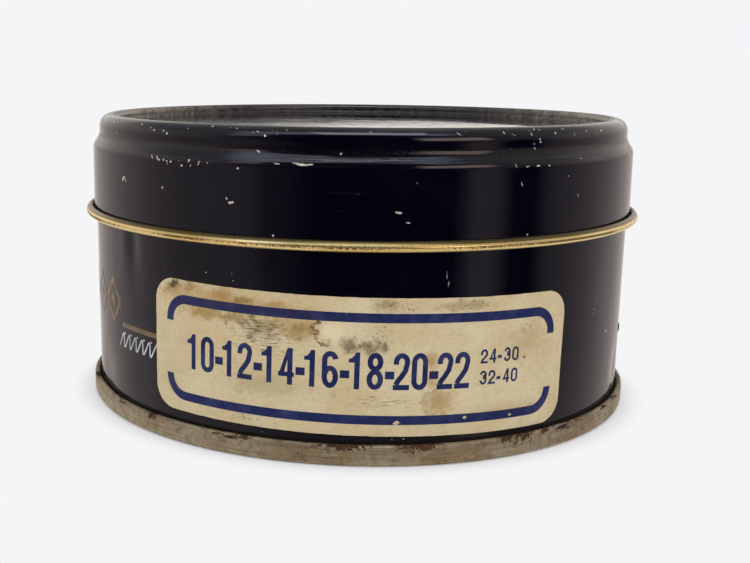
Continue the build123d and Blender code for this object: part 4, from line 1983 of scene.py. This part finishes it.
@dataclass(frozen=True)
class Studio:
    """A pale table and backdrop, soft light, and dark and light cards that the enamel mirrors.

    A ring of cards is a row of azimuths, in degrees from the front, each with its brightness.
    """

    pale: Colour = screen(245, 245, 247)
    warm: Colour = (1.0, 0.895, 0.83)
    cool: Colour = (1.0, 0.82, 0.90)
    back: Colour = (1.0, 0.96, 0.885)
    table_paint: Colour = (0.90, 0.90, 0.905)
    ambient: Colour = (0.90, 0.90, 0.90)
    table: float = 0.72
    cards: tuple[Point, ...] = (
        (-180, 0.86), (-168, 0.80), (-150, 0.70), (-125, 0.66), (-105, 0.57), (-92, 0.45), (-72, 0.35),
        (-50, 0.32), (-43, 0.26), (-37, 0.13), (-26, 0.07), (-16, 0.00), (38, 0.00), (43, 0.14), (47, 0.36),
        (55, 0.36), (60, 0.18), (64, 0.02), (74, 0.00), (79, 0.13), (84, 0.25), (102, 0.37), (118, 0.51),
        (135, 0.65), (155, 0.72), (170, 0.84), (180, 0.86),
    )
    backdrop: tuple[Point, ...] = (
        (-180, 1.10), (-175, 1.06), (-172, 0.62), (-168, 0.55), (-164, 0.72), (-150, 0.78), (-100, 0.62),
        (-60, 0.34), (-40, 0.10), (-25, 0.01), (36, 0.01), (50, 0.30), (58, 0.30), (70, 0.04), (80, 0.20),
        (100, 0.55), (150, 0.78), (160, 0.70), (164, 0.60), (168, 1.04), (180, 1.10),
    )
    upper: tuple[Point, ...] = (
        (-180, 0.42), (-173, 0.50), (-163, 0.98), (-140, 0.90), (-100, 0.72), (-62, 0.42), (-45, 0.14),
        (-25, 0.01), (36, 0.01), (55, 0.25), (80, 0.36), (100, 0.62), (140, 0.90), (163, 0.98), (173, 0.50),
        (180, 0.42),
    )
    table_edge: Point = (-0.24, -0.50)
    backdrop_edge: Point = (0.0, 0.03)
    upper_edge: Point = (0.082, 0.115)
    dim: Colour = (0.085, 0.085, 0.08)
    dim_behind: Point = (0.5, 0.8)
    dim_middle: float = 0.14
    dim_bow: float = 0.14
    dim_top: Point = (0.0510, 0.0496)
    dim_ends: Point = (0.22, 0.13)
    roof: Colour = (0.40, 0.40, 0.40)
    roof_lean: float = 0.6
    roof_edge: Point = (0.36, 0.62)
    softbox: Colour = (1.35, 1.50, 1.90)
    softbox_front: Point = (-0.54, -0.42)
    softbox_back: Point = (-0.12, -0.22)
    softbox_low: float = 0.5
    softbox_middle: float = -0.08
    softbox_ends: Point = (0.62, 0.46)
    card_tint: Colour = (1.0, 0.81, 0.74)
    warm_cards: tuple[WarmCard, ...] = (
        WarmCard(41.0, 12.0, 0.23, 0.56, 2.5),
        WarmCard(-51.0, 4.0, 0.42, 0.64, 1.5),
    )
    card_side: float = 7.0
    card_foot: float = 0.06
    card_head: float = 0.08
    floor_radius: float = 0.9
    floor_fade: Point = (0.0575, 0.067)
    key_place: Place = (0.03, -0.22, 0.62)
    key_aim: Place = (0.0, 0.0, 0.03)
    key_size: Point = (0.34, 0.22)
    key_power: float = 0.56
    key_tint: Colour = (0.96, 0.98, 1.0)

    def ring(self, wires: Wiring, azimuth: Value, levels: Sequence[Point]) -> Value:
        """Turns an azimuth into the colour of what stands there."""
        stops = [((degrees + 180) / 360, self.tinted(level, degrees)) for degrees, level in levels]
        return wires.ramp(azimuth, stops)

    def tinted(self, level: float, degrees: float) -> Colour:
        """Gives a card's colour: purplish where it is dim, warm where bright, and nearly white behind.

        Args:
            level: The card's brightness.
            degrees: Its azimuth.

        Returns:
            The colour.
        """
        share = min(1.0, level / 0.8)
        warm = self.back if abs(degrees) > 160 else self.warm
        return tuple(level * (cool + (bright - cool) * share) for cool, bright in zip(self.cool, warm))

    def build_world(self) -> None:
        """Makes the surroundings: pale to the camera, even to the lighting, and cards in mirrors."""
        world = bpy.data.worlds.new("studio")
        world.use_nodes = True
        bpy.context.scene.world = world
        wires = Wiring(world.node_tree)
        x, y, z = wires.split(wires.value("ShaderNodeTexCoord", output="Generated"))
        azimuth = wires.math("ARCTAN2", x, y * -1.0) / math.tau + 0.5
        rows = (self.cards, self.backdrop, self.upper)
        cards, backdrop, upper = (self.ring(wires, azimuth, row) for row in rows)
        aside = x - self.dim_middle
        dim = (z - aside * aside * self.dim_bow).span(*self.dim_top) * abs(x).span(*self.dim_ends)
        overhead = (z + wires.math("MINIMUM", y, 0.0) * self.roof_lean).span(*self.roof_edge)
        softbox = y.span(*self.softbox_front) * y.span(*self.softbox_back) * (z > self.softbox_low)
        softbox = softbox * abs(x - self.softbox_middle).span(*self.softbox_ends)
        mirrored = wires.coats(
            cards,
            (z.span(*self.table_edge), tuple(self.table * part for part in self.warm)),
            (z.span(*self.backdrop_edge), wires.coats(backdrop, (y.span(*self.dim_behind) * dim, self.dim))),
            (z.span(*self.upper_edge), upper),
            (overhead, self.roof),
            (softbox, self.softbox),
        )
        for card in self.warm_cards:
            off = abs(azimuth - (card.azimuth + 180) / 360)
            across = off.span((card.half_width + self.card_side) / 360, card.half_width / 360)
            foot = z.span(card.low - self.card_foot, card.low + self.card_foot)
            head = z.span(card.high + self.card_head, card.high - self.card_head)
            colour = tuple(card.level * part for part in self.card_tint)
            mirrored = wires.coats(mirrored, (across * foot * head, colour))
        path = wires.node("ShaderNodeLightPath").outputs
        rays = ("Camera", "Glossy", "Transmission")
        camera, glossy, clear = (Value(wires, path[f"Is {ray} Ray"]) for ray in rays)
        colour = wires.coats(self.ambient, (glossy | clear, mirrored), (camera, self.pale))
        wires.feed(wires.tree.nodes["Background"].inputs["Color"], colour)

    def build_floor(self) -> None:
        """Lays the pale table, which fades into the backdrop."""
        form = bmesh.new()
        bmesh.ops.create_circle(form, cap_ends=True, segments=96, radius=self.floor_radius)
        mesh = bpy.data.meshes.new("floor")
        form.to_mesh(mesh)
        form.free()
        floor = new_object("floor", mesh)
        skin = Skin("pale_table")
        x, y, _ = skin.split(skin.place)
        glow = skin.value("ShaderNodeEmission", {"Color": self.pale, "Strength": 1.0})
        low, high = self.floor_fade
        fade = (x.hypot(y) * MM).span(low, high) * skin.value("ShaderNodeLightPath", output="Is Camera Ray")
        mixed = skin.value("ShaderNodeMixShader", {0: fade, 1: Value(skin, skin.shader.outputs[0]), 2: glow})
        skin.feed(skin.tree.nodes["Material Output"].inputs["Surface"], mixed)
        paint = skin.finish(base_color=self.table_paint, roughness=0.9, specular_ior_level=0.0)
        mesh.materials.append(paint)
        floor.visible_glossy = False

    def build_key(self) -> None:
        """Hangs the soft lamp over the front."""
        lamp = bpy.data.lights.new("key", "AREA")
        lamp.shape = "RECTANGLE"
        lamp.size, lamp.size_y = self.key_size
        lamp.energy = self.key_power
        lamp.color = self.key_tint
        key = bpy.data.objects.new("key", lamp)
        key.location = self.key_place
        key.rotation_euler = (Vector(self.key_aim) - key.location).to_track_quat("-Z", "Y").to_euler()
        bpy.context.scene.collection.objects.link(key)


@dataclass(frozen=True)
class CameraStand:
    """The camera, close to the tin and a little above it, with its angles in radians."""

    place: Place = (0.0, -0.251745, 0.072948)
    down: float = 0.2188
    turned: float = -0.0641
    leaning: float = 0.0077
    focal_pixels: float = 1089.96
    principal: Point = (287.366, 305.339)
    image: Point = (750.0, 563.0)
    sensor: float = 36.0

    def build(self) -> None:
        """Sets the camera up."""
        wide, tall = self.image
        data = bpy.data.cameras.new("camera")
        data.sensor_width = self.sensor
        data.lens = self.focal_pixels / wide * self.sensor
        data.shift_x = (wide / 2 - self.principal[0]) / wide
        data.shift_y = (self.principal[1] - tall / 2) / wide
        data.clip_start = 0.01
        camera = bpy.data.objects.new("camera", data)
        level = Vector((math.sin(self.turned), math.cos(self.turned), 0.0))
        ahead = level * math.cos(self.down) - Vector((0.0, 0.0, math.sin(self.down)))
        right = Vector((level.y, -level.x, 0.0))
        lean = Matrix.Rotation(-self.leaning, 3, ahead)
        axes = Matrix((lean @ right, lean @ right.cross(ahead), -ahead)).transposed()
        camera.matrix_world = Matrix.Translation(self.place) @ axes.to_4x4()
        bpy.context.scene.collection.objects.link(camera)
        bpy.context.scene.camera = camera


def main() -> None:
    """Builds the studio and the tin's pieces in order."""
    logging.basicConfig(level=logging.INFO, format="%(name)s: %(message)s", stream=sys.stdout)
    bpy.context.scene.view_settings.view_transform = "Standard"
    CameraStand().build()
    studio = Studio()
    studio.build_world()
    studio.build_floor()
    studio.build_key()

    shop = Workshop()
    lid = Lid(shop).build()
    tin_wall = TinWall(shop)
    wall = tin_wall.build()
    tin_wall.build_fold()
    BottomEnd(shop).build()
    PaperLabel(shop).build()
    WallOrnament(shop).build()
    PaintWear(shop).build(lid, wall)


if __name__ == "__main__":
    main()
